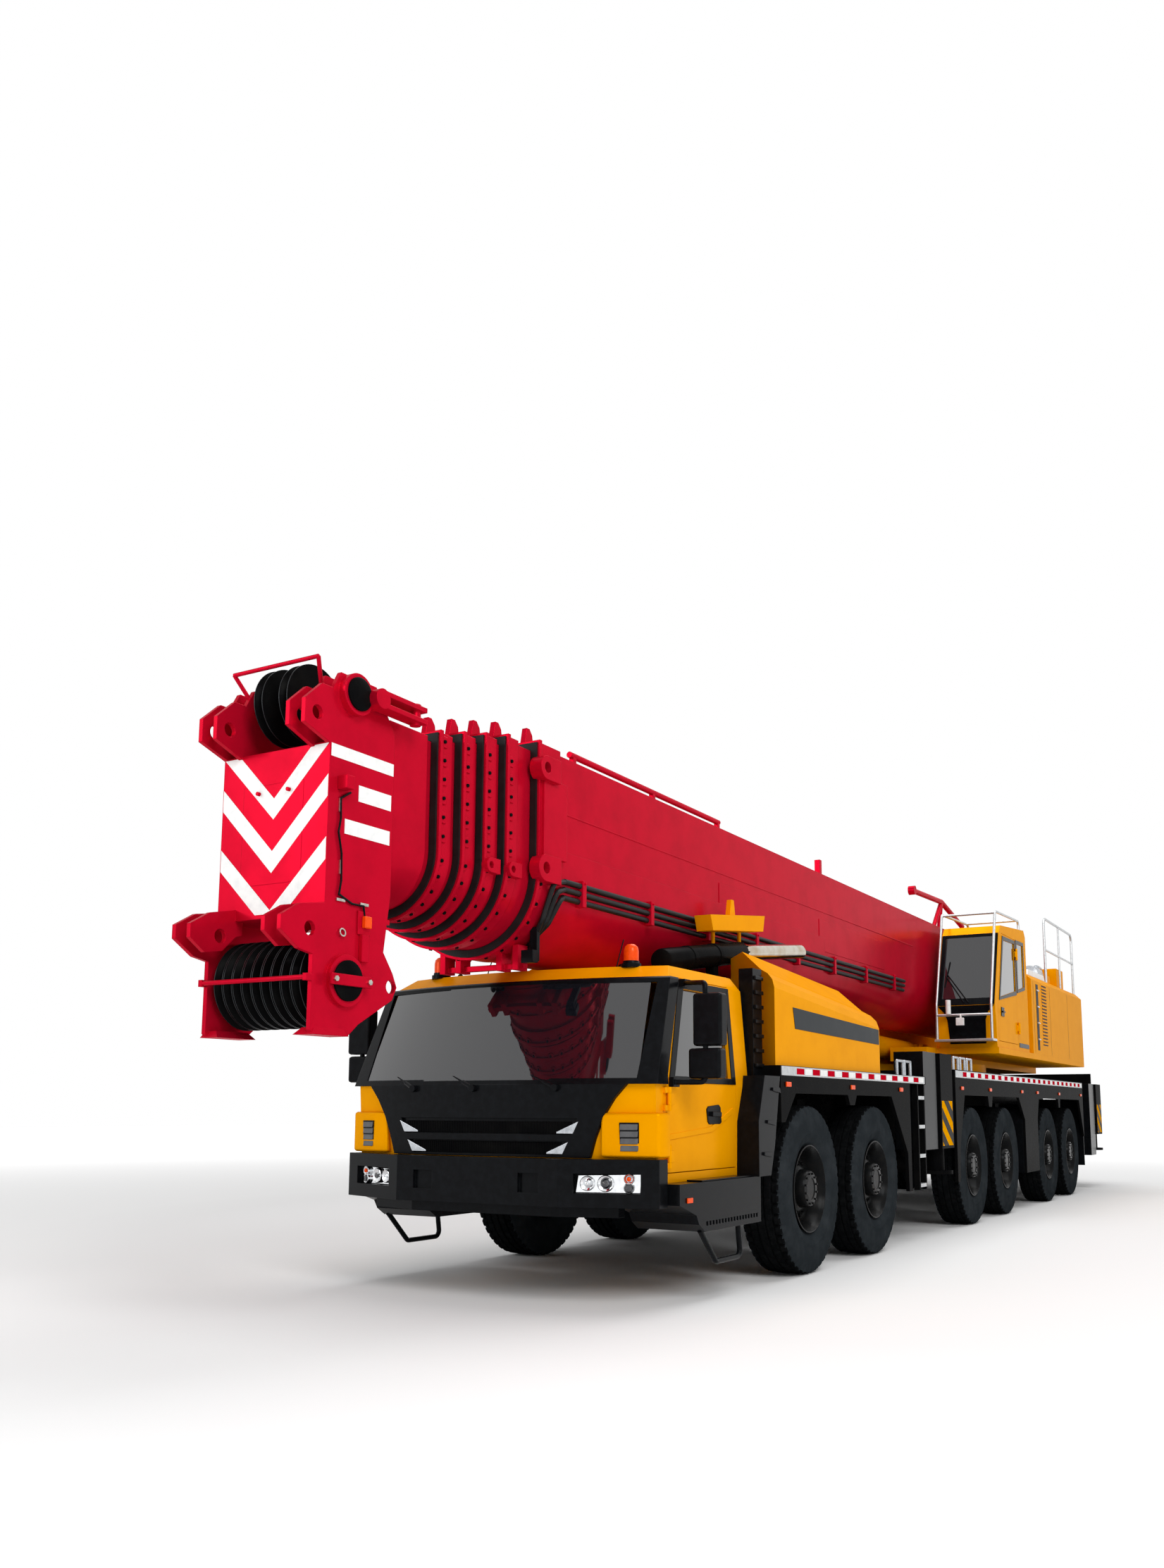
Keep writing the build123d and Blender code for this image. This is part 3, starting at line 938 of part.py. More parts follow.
# Lift cylinder: barrel pinned to the bed, rod reaching the eye lugs under the boom.
foot = Vector(LIFT_FOOT_X, 0, LIFT_FOOT_Z)
eye = Vector(LIFT_EYE_X, 0, LIFT_EYE_Z)
along = (eye - foot).normalized()
EYE_HALF = BED_SLOT - 30
EYE_RADIUS = 105
GLAND_GAP = 330
ROD_START = 180


def station(distance):
    """Point on the cylinder's axis at a distance from its foot pin."""
    point = foot + along * distance
    return (point.X, point.Y, point.Z)


closed_length = (eye - foot).length
barrel = rod(station(90), station(closed_length - GLAND_GAP), LIFT_BARREL_RADIUS)
barrel += cross_rod(LIFT_FOOT_X, LIFT_FOOT_Z, (-EYE_HALF, EYE_HALF), EYE_RADIUS + 15)
barrel -= rod(station(ROD_START - 10), station(closed_length), LIFT_ROD_RADIUS + LIFT_CLEARANCE)
barrel -= cross_rod(LIFT_FOOT_X, LIFT_FOOT_Z, (-400, 400), LIFT_PIN_RADIUS + LIFT_CLEARANCE)
save("lift_cylinder_barrel", [barrel])
lift_rod = rod(station(ROD_START), station(closed_length - 60), LIFT_ROD_RADIUS)
lift_rod += cross_rod(LIFT_EYE_X, LIFT_EYE_Z, (-EYE_HALF, EYE_HALF), EYE_RADIUS)
lift_rod -= cross_rod(LIFT_EYE_X, LIFT_EYE_Z, (-400, 400), LIFT_PIN_RADIUS)
save("lift_cylinder_rod", [lift_rod])
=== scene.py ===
import json
import math

import bmesh
import bpy
from mathutils import Matrix, Vector

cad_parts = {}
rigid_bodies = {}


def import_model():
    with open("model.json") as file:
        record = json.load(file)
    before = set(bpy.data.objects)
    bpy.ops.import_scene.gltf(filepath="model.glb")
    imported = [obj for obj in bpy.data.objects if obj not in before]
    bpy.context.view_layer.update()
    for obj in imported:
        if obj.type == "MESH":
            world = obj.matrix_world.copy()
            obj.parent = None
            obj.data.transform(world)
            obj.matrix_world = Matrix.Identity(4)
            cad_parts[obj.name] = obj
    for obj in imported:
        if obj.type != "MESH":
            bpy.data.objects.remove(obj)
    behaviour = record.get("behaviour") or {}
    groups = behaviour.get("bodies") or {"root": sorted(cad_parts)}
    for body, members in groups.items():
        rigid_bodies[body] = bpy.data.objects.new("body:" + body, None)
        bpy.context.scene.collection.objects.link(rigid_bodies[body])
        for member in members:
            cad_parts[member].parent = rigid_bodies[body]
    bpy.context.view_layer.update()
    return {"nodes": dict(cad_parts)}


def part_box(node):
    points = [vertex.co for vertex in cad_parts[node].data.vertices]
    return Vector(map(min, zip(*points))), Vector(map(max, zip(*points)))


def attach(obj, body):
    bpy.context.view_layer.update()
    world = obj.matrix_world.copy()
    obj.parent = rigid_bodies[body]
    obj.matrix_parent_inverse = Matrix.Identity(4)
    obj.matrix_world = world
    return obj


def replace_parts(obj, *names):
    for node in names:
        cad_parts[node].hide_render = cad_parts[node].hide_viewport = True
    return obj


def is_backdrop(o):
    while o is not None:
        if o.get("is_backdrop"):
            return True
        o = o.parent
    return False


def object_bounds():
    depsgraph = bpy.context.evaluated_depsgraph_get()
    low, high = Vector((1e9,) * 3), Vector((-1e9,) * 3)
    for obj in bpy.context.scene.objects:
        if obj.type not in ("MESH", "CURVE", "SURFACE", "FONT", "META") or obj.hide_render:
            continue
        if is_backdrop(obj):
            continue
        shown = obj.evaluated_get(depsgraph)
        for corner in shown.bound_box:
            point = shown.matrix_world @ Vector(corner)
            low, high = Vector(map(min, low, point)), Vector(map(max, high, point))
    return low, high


# Start: an empty scene, then the imported crane with its bodies and CAD nodes.
bpy.ops.object.select_all(action="SELECT")
bpy.ops.object.delete()
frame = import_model()
nodes = frame["nodes"]

# Camera: stands low at the crane's front left and looks slightly up, as fitted to the photo's
# vanishing lines. Lens and shifts come from the focal length and centre of the photo in pixels.
PHOTO_WIDTH, PHOTO_HEIGHT = 1652, 2226
FOCAL, CENTRE_X, CENTRE_Y = 1783.574, 880.0, 1322.718
HEADING, PITCH, ROLL = 0.520822, 0.140226, 0.002557
CAMERA_AT = (14.64535, 5.34194, 1.33067)
SENSOR = 36
forward = Vector((-math.cos(HEADING) * math.cos(PITCH), -math.sin(HEADING) * math.cos(PITCH),
                  math.sin(PITCH)))
right = forward.cross(Vector((0, 0, 1))).normalized()
up = right.cross(forward)
turn = Matrix((right, up, -forward)).transposed()
optics = bpy.data.cameras.new("photo_camera")
optics.sensor_width = SENSOR
optics.sensor_fit = "AUTO"
optics.lens = SENSOR * FOCAL / PHOTO_HEIGHT
optics.shift_x = (PHOTO_WIDTH / 2 - CENTRE_X) / PHOTO_HEIGHT
optics.shift_y = (CENTRE_Y - PHOTO_HEIGHT / 2) / PHOTO_HEIGHT
optics.clip_end = 300
camera = bpy.data.objects.new("photo_camera", optics)
bpy.context.scene.collection.objects.link(camera)
camera.matrix_world = (Matrix.Translation(CAMERA_AT)
                       @ (turn @ Matrix.Rotation(ROLL, 3, "Z")).to_4x4())
bpy.context.scene.camera = camera
bpy.context.scene.view_settings.view_transform = "Standard"


# Studio: a plain pale floor under the crane, a white surround, and soft area lights.
# The surround is white to the eye and in reflections, and gives a mild even light.
def linear(code):
    """The linear colour of an sRGB hex code."""
    parts = [int(code[i:i + 2], 16) / 255 for i in (0, 2, 4)]
    return [p / 12.92 if p <= 0.04045 else ((p + 0.055) / 1.055) ** 2.4 for p in parts] + [1]


def node(tree, kind, links=None, **settings):
    """Adds a shader node; settings are attributes or input sockets, links feed its inputs."""
    made = tree.nodes.new(kind)
    for key, value in settings.items():
        if hasattr(made, key):
            setattr(made, key, value)
        else:
            made.inputs[key.replace("_", " ")].default_value = value
    for key, socket in (links or {}).items():
        tree.links.new(socket, made.inputs[key])
    return made


world = bpy.data.worlds.new("white_studio")
bpy.context.scene.world = world
world.use_nodes = True
tree = world.node_tree
tree.nodes.clear()
ray = node(tree, "ShaderNodeLightPath")
seen = node(tree, "ShaderNodeMath", {0: ray.outputs["Is Camera Ray"], 1: ray.outputs["Is Glossy Ray"]},
            operation="MAXIMUM")
seen = node(tree, "ShaderNodeMath", {0: seen.outputs[0], 1: ray.outputs["Is Transmission Ray"]},
            operation="MAXIMUM")
level = node(tree, "ShaderNodeMapRange", {"Value": seen.outputs[0]})
level.inputs["To Min"].default_value = 0.25
level.inputs["To Max"].default_value = 1.0
back = node(tree, "ShaderNodeBackground", {"Strength": level.outputs[0]}, Color=(1, 1, 1, 1))
node(tree, "ShaderNodeOutputWorld", {0: back.outputs[0]})

FLOOR_HALF = 70
floor_mesh = bpy.data.meshes.new("studio_floor")
floor_mesh.from_pydata([(-FLOOR_HALF, -FLOOR_HALF, 0), (FLOOR_HALF, -FLOOR_HALF, 0),
                        (FLOOR_HALF, FLOOR_HALF, 0), (-FLOOR_HALF, FLOOR_HALF, 0)], [], [(0, 1, 2, 3)])
floor = bpy.data.objects.new("studio_floor", floor_mesh)
bpy.context.scene.collection.objects.link(floor)
# Matt floor paint: keeps the crane's shadow near it, and glows gently into the white further out.
floor_paint = bpy.data.materials.new("pale_studio_floor")
floor_paint.use_nodes = True
tree = floor_paint.node_tree
ground = tree.nodes["Principled BSDF"]
ground.inputs["Base Color"].default_value = (0.94, 0.94, 0.94, 1)
ground.inputs["Roughness"].default_value = 0.8
ground.inputs["Emission Color"].default_value = (1, 1, 1, 1)
place = node(tree, "ShaderNodeTexCoord")
reach = node(tree, "ShaderNodeVectorMath", {0: place.outputs["Object"]}, operation="LENGTH")
glow = node(tree, "ShaderNodeMapRange", {"Value": reach.outputs["Value"]})
glow.inputs["From Min"].default_value = 8
glow.inputs["From Max"].default_value = 28
glow.inputs["To Max"].default_value = 0.8
tree.links.new(glow.outputs[0], ground.inputs["Emission Strength"])
floor_mesh.materials.append(floor_paint)
floor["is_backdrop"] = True

for name, place, aim, size, power in (("key_light", (16, 14, 13), (2, 0, 2), 9, 2200),
                                      ("fill_light", (22, -9, 8), (4, 0, 2), 8, 800),
                                      ("top_light", (-2, 2, 17), (-2, 0, 0), 14, 1900)):
    lamp = bpy.data.lights.new(name, "AREA")
    lamp.size, lamp.energy = size, power
    light = bpy.data.objects.new(name, lamp)
    light.location = place
    light.rotation_mode = "QUATERNION"
    light.rotation_quaternion = (Vector(aim) - Vector(place)).to_track_quat("-Z", "Y")
    bpy.context.scene.collection.objects.link(light)


# Chassis frame, knuckles and axles: welded box frame and cast axle beams, sprayed black.
# They are CAD nodes and only get their finish here.
def coating(name, tone, worn, rough, metal=0.0, grain=250, clear=0.0, edge=6, shine=0.5):
    """A finish that wanders between two tones over patches of grain mm, with edges rounded by edge mm.

    Paint and plastic stand in a white studio that would bleach a clear gloss seen at a low angle.
    Their gloss is tinted instead: a little metal, and hardly any shine.
    """
    made = bpy.data.materials.new(name)
    made.use_nodes = True
    tree = made.node_tree
    surface = tree.nodes["Principled BSDF"]
    place = node(tree, "ShaderNodeTexCoord")
    patch = node(tree, "ShaderNodeTexNoise", {"Vector": place.outputs["Object"]},
                 Scale=1000 / grain, Detail=6.0, Roughness=0.62)
    spread = node(tree, "ShaderNodeMapRange", {"Value": patch.outputs["Fac"]})
    spread.inputs["From Min"].default_value = 0.42
    spread.inputs["From Max"].default_value = 0.78
    mix = node(tree, "ShaderNodeMix", {"Factor": spread.outputs[0]}, data_type="RGBA")
    mix.inputs[6].default_value = linear(tone)
    mix.inputs[7].default_value = linear(worn)
    gloss = node(tree, "ShaderNodeMapRange", {"Value": patch.outputs["Fac"]})
    gloss.inputs["To Min"].default_value = rough * 0.75
    gloss.inputs["To Max"].default_value = min(1.0, rough * 1.3)
    round_edge = node(tree, "ShaderNodeBevel", samples=4, Radius=edge / 1000)
    tree.links.new(mix.outputs[2], surface.inputs["Base Color"])
    tree.links.new(gloss.outputs[0], surface.inputs["Roughness"])
    tree.links.new(round_edge.outputs[0], surface.inputs["Normal"])
    surface.inputs["Metallic"].default_value = metal
    surface.inputs["Specular IOR Level"].default_value = shine
    surface.inputs["Coat Weight"].default_value = clear
    surface.inputs["Coat Roughness"].default_value = 0.08
    return made


def dress(material, *names):
    """Gives CAD nodes a material in place of the plain one they come with."""
    for name in names:
        for place in nodes[name].material_slots:
            place.material = material


SIDES = (("left", 1), ("right", -1))
# Sprayed black enamel: deep black with a soft satin gloss.
chassis_enamel = coating("black_chassis_enamel", "0d0d0e", "161615", 0.26, metal=0.14, shine=0.0)
# Painted cast iron: a rougher, browner black than the frame.
iron = coating("cast_iron_axle", "171718", "242220", 0.5, metal=0.1, grain=120, shine=0.0)
dress(chassis_enamel, "chassis_frame", *[f"knuckle_{n}_{label}" for n in (1, 2, 5, 6) for label, _ in SIDES])
dress(iron, "axle_beams")


# Wheels: black road tyres with shoulder blocks and ringed sidewalls, on black dished steel rims
# with a hub and a ring of nuts. Lathed from real outlines; each pair replaces one CAD wheel.
def spun(bm, outline, origin, axis, steps, slot=None):
    """Adds an outline of (radius, offset along axis) turned about the axis; slot may sink points."""
    axis = Vector(axis).normalized()
    side = axis.orthogonal().normalized()
    third = axis.cross(side)
    rings = []
    for k in range(steps):
        angle = 2 * math.pi * k / steps
        out = side * math.cos(angle) + third * math.sin(angle)
        ring = []
        for i, (radius, along) in enumerate(outline):
            deep = slot(i, k) if slot else 0
            ring.append(bm.verts.new(Vector(origin) + axis * along + out * (radius - deep)))
        rings.append(ring)
    for k in range(steps):
        for i in range(len(outline) - 1):
            bm.faces.new((rings[k][i], rings[k][i + 1], rings[(k + 1) % steps][i + 1],
                          rings[(k + 1) % steps][i]))
    return rings


def capped(bm, rings, index):
    """Closes a lathed shape at one end of its outline."""
    bm.faces.new([ring[index] for ring in rings])


def bar(bm, start, end, radius, steps=12):
    """Adds a closed round bar from one point to another."""
    start, end = Vector(start), Vector(end)
    length = (end - start).length
    rings = spun(bm, [(radius, 0), (radius, length)], start, end - start, steps)
    capped(bm, rings, 0)
    capped(bm, rings, 1)


def piece(bm, name, material, body, bevel=0.0, smooth=40):
    """Turns a mesh in the making into an object that rides on a body."""
    bmesh.ops.recalc_face_normals(bm, faces=bm.faces)
    mesh = bpy.data.meshes.new(name)
    bm.to_mesh(mesh)
    bm.free()
    mesh.materials.append(material)
    mesh.shade_smooth()
    mesh.set_sharp_from_angle(angle=math.radians(smooth))
    made = bpy.data.objects.new(name, mesh)
    bpy.context.scene.collection.objects.link(made)
    if bevel:
        edge = made.modifiers.new("soft_edges", "BEVEL")
        edge.width, edge.segments, edge.limit_method = bevel, 2, "ANGLE"
        edge.harden_normals = True
    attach(made, body)
    return made


# Half outlines from bead to crown; the other half of the tyre mirrors the first.
TYRE = [(0.345, -0.135), (0.372, -0.15), (0.395, -0.172), (0.44, -0.183), (0.452, -0.187),
        (0.464, -0.184), (0.5, -0.1865), (0.548, -0.186), (0.56, -0.1875), (0.572, -0.185),
        (0.61, -0.18), (0.645, -0.172), (0.668, -0.163), (0.678, -0.15), (0.68, -0.112),
        (0.668, -0.108), (0.668, -0.098), (0.683, -0.094), (0.684, -0.045), (0.67, -0.041),
        (0.67, -0.031), (0.685, -0.027)]
TYRE = TYRE + [(radius, -along) for radius, along in reversed(TYRE)]
RIM = [(0.352, -0.168), (0.352, -0.15), (0.335, -0.14), (0.33, -0.05), (0.325, 0.02), (0.315, 0.115),
       (0.33, 0.135), (0.352, 0.15), (0.357, 0.166), (0.347, 0.168), (0.335, 0.15), (0.312, 0.12),
       (0.3, 0.045), (0.285, 0.02), (0.25, 0.012), (0.225, 0.03), (0.205, 0.055), (0.195, 0.058)]
HUB = [(0.196, 0.04), (0.19, 0.075), (0.168, 0.088), (0.158, 0.09), (0.152, 0.155), (0.14, 0.171),
       (0.09, 0.176), (0.085, 0.17), (0.04, 0.17)]
SHOULDER, MIDDLE_RIB = (11, 12, 13, 14), (17, 18)
SHOULDER_SLOT, RIB_SLOT = 0.026, 0.009
TREAD_FROM = 0.662
WHEEL_NUTS, NUT_CIRCLE = 20, 0.238
HUB_BOLTS, BOLT_CIRCLE = 12, 0.124
# Moulded rubber: blue-grey black sidewalls without a highlight.
rubber = coating("tyre_rubber", "272b2e", "34383b", 0.65, grain=180, edge=10, shine=0.0)
# The same rubber where the road has scrubbed it: darker and dead matt.
tread_rubber = coating("tread_rubber", "0e0f10", "191a1b", 0.8, grain=60, edge=4, shine=0.0)
# Black enamel on pressed steel: a dark dish with faint bright rims.
rim_enamel = coating("black_wheel_enamel", "131415", "1d1c1b", 0.24, metal=0.26, grain=90, shine=0.04)


def tread_slot(i, k):
    """Cross slots in the shoulder and middle ribs, so blocks stand out."""
    mirrored = len(TYRE) - 1 - i
    if i in SHOULDER or mirrored in SHOULDER:
        return SHOULDER_SLOT if k % 4 == 0 else 0.0
    if i in MIDDLE_RIB or mirrored in MIDDLE_RIB:
        return RIB_SLOT if k % 4 == 2 else 0.0
    return 0.0


for n in range(1, 7):
    for label, side in SIDES:
        body = f"wheel_{n}_{label}"
        dress(rubber, body)
        low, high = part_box(body)
        centre = (low + high) / 2
        bm = bmesh.new()
        spun(bm, TYRE, centre, (0, side, 0), 192, tread_slot)
        tyre = piece(bm, f"tyre_{n}_{label}", rubber, body, smooth=32)
        tyre.data.materials.append(tread_rubber)
        for face in tyre.data.polygons:
            if math.hypot(face.center.x - centre.x, face.center.z - centre.z) > TREAD_FROM:
                face.material_index = 1
        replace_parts(tyre, body)
        bm = bmesh.new()
        spun(bm, RIM, centre, (0, side, 0), 48)
        capped(bm, spun(bm, HUB, centre, (0, side, 0), 32), -1)
        for k in range(WHEEL_NUTS):
            angle = 2 * math.pi * k / WHEEL_NUTS
            seat = centre + Vector((math.cos(angle) * NUT_CIRCLE, side * 0.014, math.sin(angle) * NUT_CIRCLE))
            bar(bm, seat, seat + Vector((0, side * 0.036, 0)), 0.0145, 6)
        for k in range(HUB_BOLTS):
            angle = 2 * math.pi * (k + 0.5) / HUB_BOLTS
            seat = centre + Vector((math.cos(angle) * BOLT_CIRCLE, side * 0.172, math.sin(angle) * BOLT_CIRCLE))
            bar(bm, seat, seat + Vector((0, side * 0.012, 0)), 0.009, 6)
        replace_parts(piece(bm, f"rim_{n}_{label}", rim_enamel, body), body)


# Decks, side boxes and ladders: black plates and boxes from the CAD, with aluminium edge strips and
# ladder treads, red and white reflective blocks, orange marker lamps and bent grab hoops laid on them.
def prism(bm, points, push):
    """Adds a flat outline of points pushed along a vector."""
    push = Vector(push)
    low = [bm.verts.new(Vector(p)) for p in points]
    high = [bm.verts.new(Vector(p) + push) for p in points]
    bm.faces.new(low)
    bm.faces.new(high)
    for i in range(len(points)):
        bm.faces.new((low[i], low[(i + 1) % len(points)], high[(i + 1) % len(points)], high[i]))


def brick(bm, x, y, z):
    """Adds a box between pairs of limits."""
    prism(bm, [(x[0], y[0], z[0]), (x[1], y[0], z[0]), (x[1], y[1], z[0]), (x[0], y[1], z[0])],
          (0, 0, z[1] - z[0]))


def hose(bm, points, radius, steps=8):
    """Adds a round line through points, each run closed and its bends filled by balls of the line."""
    for a, b in zip(points, points[1:]):
        bar(bm, a, b, radius, steps)
    for p in points[1:-1]:
        bmesh.ops.create_icosphere(bm, subdivisions=2, radius=radius, matrix=Matrix.Translation(p))


# Lengths along the crane are counted from the first axle.
AXLE = 4.705
FLANK = 1.4753
# Start, end, height and number of blocks of the front and the rear edge strip.
EDGE_STRIPS = ((0.63, -3.28, (1.6, 1.674), 20), (-4.52, -12.46, (1.7, 1.78), 44))
MARKER_LAMPS = (0.5, -1.02, -2.45, -4.78, -6.12, -7.9, -8.9, -10.48, -12.3)
HOOPS = ((-2.75, 1.678), (-3.0, 1.678), (-4.9, 1.79), (-5.2, 1.79), (-5.5, 1.79))
HOOP_Y, HOOP_HIGH, HOOP_HALF = 1.38, 0.15, 0.1
# Moulded plastic: black with a dull sheen.
black_plastic = coating("moulded_black_plastic", "0e0f11", "15171a", 0.22, metal=0.16, grain=50, shine=0.06)
# Brushed aluminium: pale grey, its highlights spread wide.
aluminium = coating("brushed_aluminium", "c9cbcc", "aeb1b3", 0.36, metal=0.9, grain=40)
# Satin-painted tube: silver with a narrower highlight than the strips.
silver = coating("satin_silver_trim", "b9bdc2", "999da2", 0.25, metal=0.85, grain=40, edge=3)
# Reflective tapes: flat clean red and white that stay even from every side.
red_tape = coating("red_reflective_tape", "c40a22", "ad081d", 0.35, grain=50, edge=1, shine=0.0)
white_tape = coating("white_reflective_tape", "f4f4f2", "e4e6e6", 0.35, grain=50, edge=1)
# Moulded acrylic lens: saturated orange under a thin gloss.
amber_lens = coating("orange_lamp_lens", "f8500a", "e04806", 0.18, metal=0.1, grain=20, clear=0.1,
                     edge=3, shine=0.1)
dress(chassis_enamel, "deck_plates", "ladders")
dress(black_plastic, "side_boxes")
strip, reds, whites, lamps, hoops = (bmesh.new() for _ in range(5))
for _, side in SIDES:
    for start, end, z, count in EDGE_STRIPS:
        brick(strip, (AXLE + end, AXLE + start), (side * FLANK, side * 1.479), z)
        pitch = (start - 0.35 - end) / count
        for k in range(count):
            x = end + 0.05 + k * pitch
            brick(reds if k % 2 else whites, (AXLE + x, AXLE + x + pitch * 0.9),
                  (side * 1.4793, side * 1.4808), (z[0] + 0.014, z[1] - 0.012))
    for x in MARKER_LAMPS:
        z = 1.53 if x > -4 else 1.58
        brick(lamps, (AXLE + x - 0.05, AXLE + x + 0.05), (side * 1.4755, side * 1.489), (z - 0.02, z + 0.02))
    for x, deck in HOOPS:
        rear, front, y, top = AXLE + x - HOOP_HALF, AXLE + x + HOOP_HALF, side * HOOP_Y, deck + HOOP_HIGH
        hose(hoops, [(rear, y, deck), (rear, y, top), (front, y, top), (front, y, deck)], 0.016)
for _, side in SIDES:
    for step in range(4):
        z = 0.54 + step * 0.3
        brick(strip, (AXLE - 3.295, AXLE - 3.095), (side * 1.403, side * 1.464), (z - 0.003, z + 0.034))
piece(strip, "deck_edge_strips", aluminium, "carrier", bevel=0.001)
piece(reds, "red_reflectors", red_tape, "carrier")
piece(whites, "white_reflectors", white_tape, "carrier")
piece(lamps, "marker_lamps", amber_lens, "carrier", bevel=0.005)
piece(hoops, "deck_hoops", silver, "carrier")

# Outriggers: black welded beams and jacks from the CAD, each beam end with a yellow panel and black
# slanted stripes. A stripe is a band cut off at the panel's lower and upper edge.
PANEL_INSET, PANEL_HIGH = 0.03, 0.52
STRIPE_PITCH, STRIPE_WIDTH, STRIPE_SLOPE = 0.25, 0.125, 0.7
# Screen-printed warning film: flat yellow and flat black. The flat black also serves as painted shade in the
# power pack's ladder recess and under its louvres.
hazard_yellow = coating("hazard_yellow", "f0a400", "e59a00", 0.4, grain=100, edge=1, shine=0.0)
hazard_print_and_shade_black = coating("hazard_print_and_shade_black", "0c0c0c", "141414", 0.4, grain=100, edge=1, shine=0.05)


def cut_at(outline, limit, above):
    """The part of an outline of (x, z) that lies above or below a height."""
    kept = []
    for (xa, za), (xb, zb) in zip(outline, outline[1:] + outline[:1]):
        inside_a, inside_b = (za >= limit) == above, (zb >= limit) == above
        if inside_a:
            kept.append((xa, za))
        if inside_a != inside_b:
            share = (limit - za) / (zb - za)
            kept.append((xa + (xb - xa) * share, limit))
    return kept


for corner in [f"{end}_{label}" for end in ("front", "rear") for label, _ in SIDES]:
    beam = f"outrigger_beam_{corner}"
    dress(chassis_enamel, beam, f"outrigger_jack_{corner}")
    low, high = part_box(beam)
    side = 1 if "left" in corner else -1
    y = side * FLANK
    x0, x1 = low.x + PANEL_INSET, high.x - PANEL_INSET
    z0, z1 = low.z + PANEL_INSET, low.z + PANEL_HIGH
    panel, stripes = bmesh.new(), bmesh.new()
    prism(panel, [(x0, y, z0), (x1, y, z0), (x1, y, z1), (x0, y, z1)], (0, side * 0.001, 0))
    rise = STRIPE_SLOPE * (x1 - x0)
    for k in range(-3, 4):
        base = z0 + k * STRIPE_PITCH
        band = [(x0, base), (x1, base + rise), (x1, base + rise + STRIPE_WIDTH), (x0, base + STRIPE_WIDTH)]
        band = cut_at(cut_at(band, z0, True), z1, False)
        if len(band) > 2:
            prism(stripes, [(x, y + side * 0.0012, z) for x, z in band], (0, side * 0.001, 0))
    piece(panel, f"hazard_ground_{corner}", hazard_yellow, beam)
    piece(stripes, f"hazard_stripes_{corner}", hazard_print_and_shade_black, beam)

# Rear end: lamp housings and a bar on the rear outrigger housing and mud flaps behind the last wheels,
# in black plastic, with red and orange lenses set in. Bevelled blocks fixed to the frame's rear face.
REAR_FACE = AXLE - 14.35
LAMP_FRONT, LAMP_BACK = REAR_FACE - 0.044, REAR_FACE - 0.062
# Moulded acrylic lens: dark red, glossy.
red_lens = coating("red_lamp_lens", "b80d12", "8f0a0e", 0.15, grain=20, edge=3, shine=0.15)
trim, tail, turning = bmesh.new(), bmesh.new(), bmesh.new()
for _, side in SIDES:
    brick(trim, (REAR_FACE - 0.045, REAR_FACE), (side * 0.66, side * 1.1), (1.17, 1.33))
    brick(tail, (LAMP_BACK, LAMP_FRONT), (side * 0.68, side * 0.86), (1.19, 1.31))
    brick(turning, (LAMP_BACK, LAMP_FRONT), (side * 0.9, side * 1.06), (1.19, 1.31))
    brick(trim, (AXLE - 12.53, AXLE - 12.505), (side * 1.06, side * 1.46), (0.42, 1.69))
brick(trim, (REAR_FACE - 0.03, REAR_FACE), (-0.6, 0.6), (1.42, 1.5))
piece(trim, "rear_trim", black_plastic, "carrier", bevel=0.006)
piece(tail, "tail_lamps", red_lens, "carrier", bevel=0.008)
piece(turning, "rear_turn_lamps", amber_lens, "carrier", bevel=0.008)

# Driver's cab: a pressed and painted steel shell from the CAD, with moulded corner cheeks, louvres in
# black pockets, a grille of fine bars and silver wedges. All follow the shell's bowed front.
# Height, front reach and half width of the shell.
CAB_LEVELS = ((0.83, 2.56, 1.29), (1.5, 2.60, 1.30), (2.25, 2.29, 1.24), (2.36, 2.12, 1.15))
CAB_BOW = 0.19


def cab_at(z):
    """Front reach and half width of the cab at a height."""
    for (z0, f0, h0), (z1, f1, h1) in zip(CAB_LEVELS, CAB_LEVELS[1:]):
        if z <= z1:
            share = (z - z0) / (z1 - z0)
            return f0 + (f1 - f0) * share, h0 + (h1 - h0) * share
    return CAB_LEVELS[-1][1:]


def cab_face(y, z, out=0.0):
    """Point on the bowed front of the cab."""
    front, half = cab_at(z)
    radius = (half * half + CAB_BOW * CAB_BOW) / (2 * CAB_BOW)
    return Vector((AXLE + front + out - radius + math.sqrt(radius * radius - y * y), y, z))


CHEEK_LOW, CHEEK_HIGH, CHEEK_AT = 1.005, 0.3, 1.15
LOUVRE = ((1.075, 1.04), (1.205, 1.04), (1.205, 1.24), (1.075, 1.24))
SLATS, SLAT_PITCH, SLAT_LEAN = 4, 0.047, Vector((-0.004, 0, 0.034))
# Height and half width of the lower and the upper grille opening.
GRILLE_ROWS = ((1.016, 0.64), (1.156, 0.72))
GRILLE_STEPS, GRILLE_BARS = 12, 60
# Sprayed enamel on sheet steel: a warm amber yellow with a broad soft gloss.
yellow_enamel = coating("amber_yellow_enamel", "f2a000", "eb9900", 0.22, metal=0.15, shine=0.0)
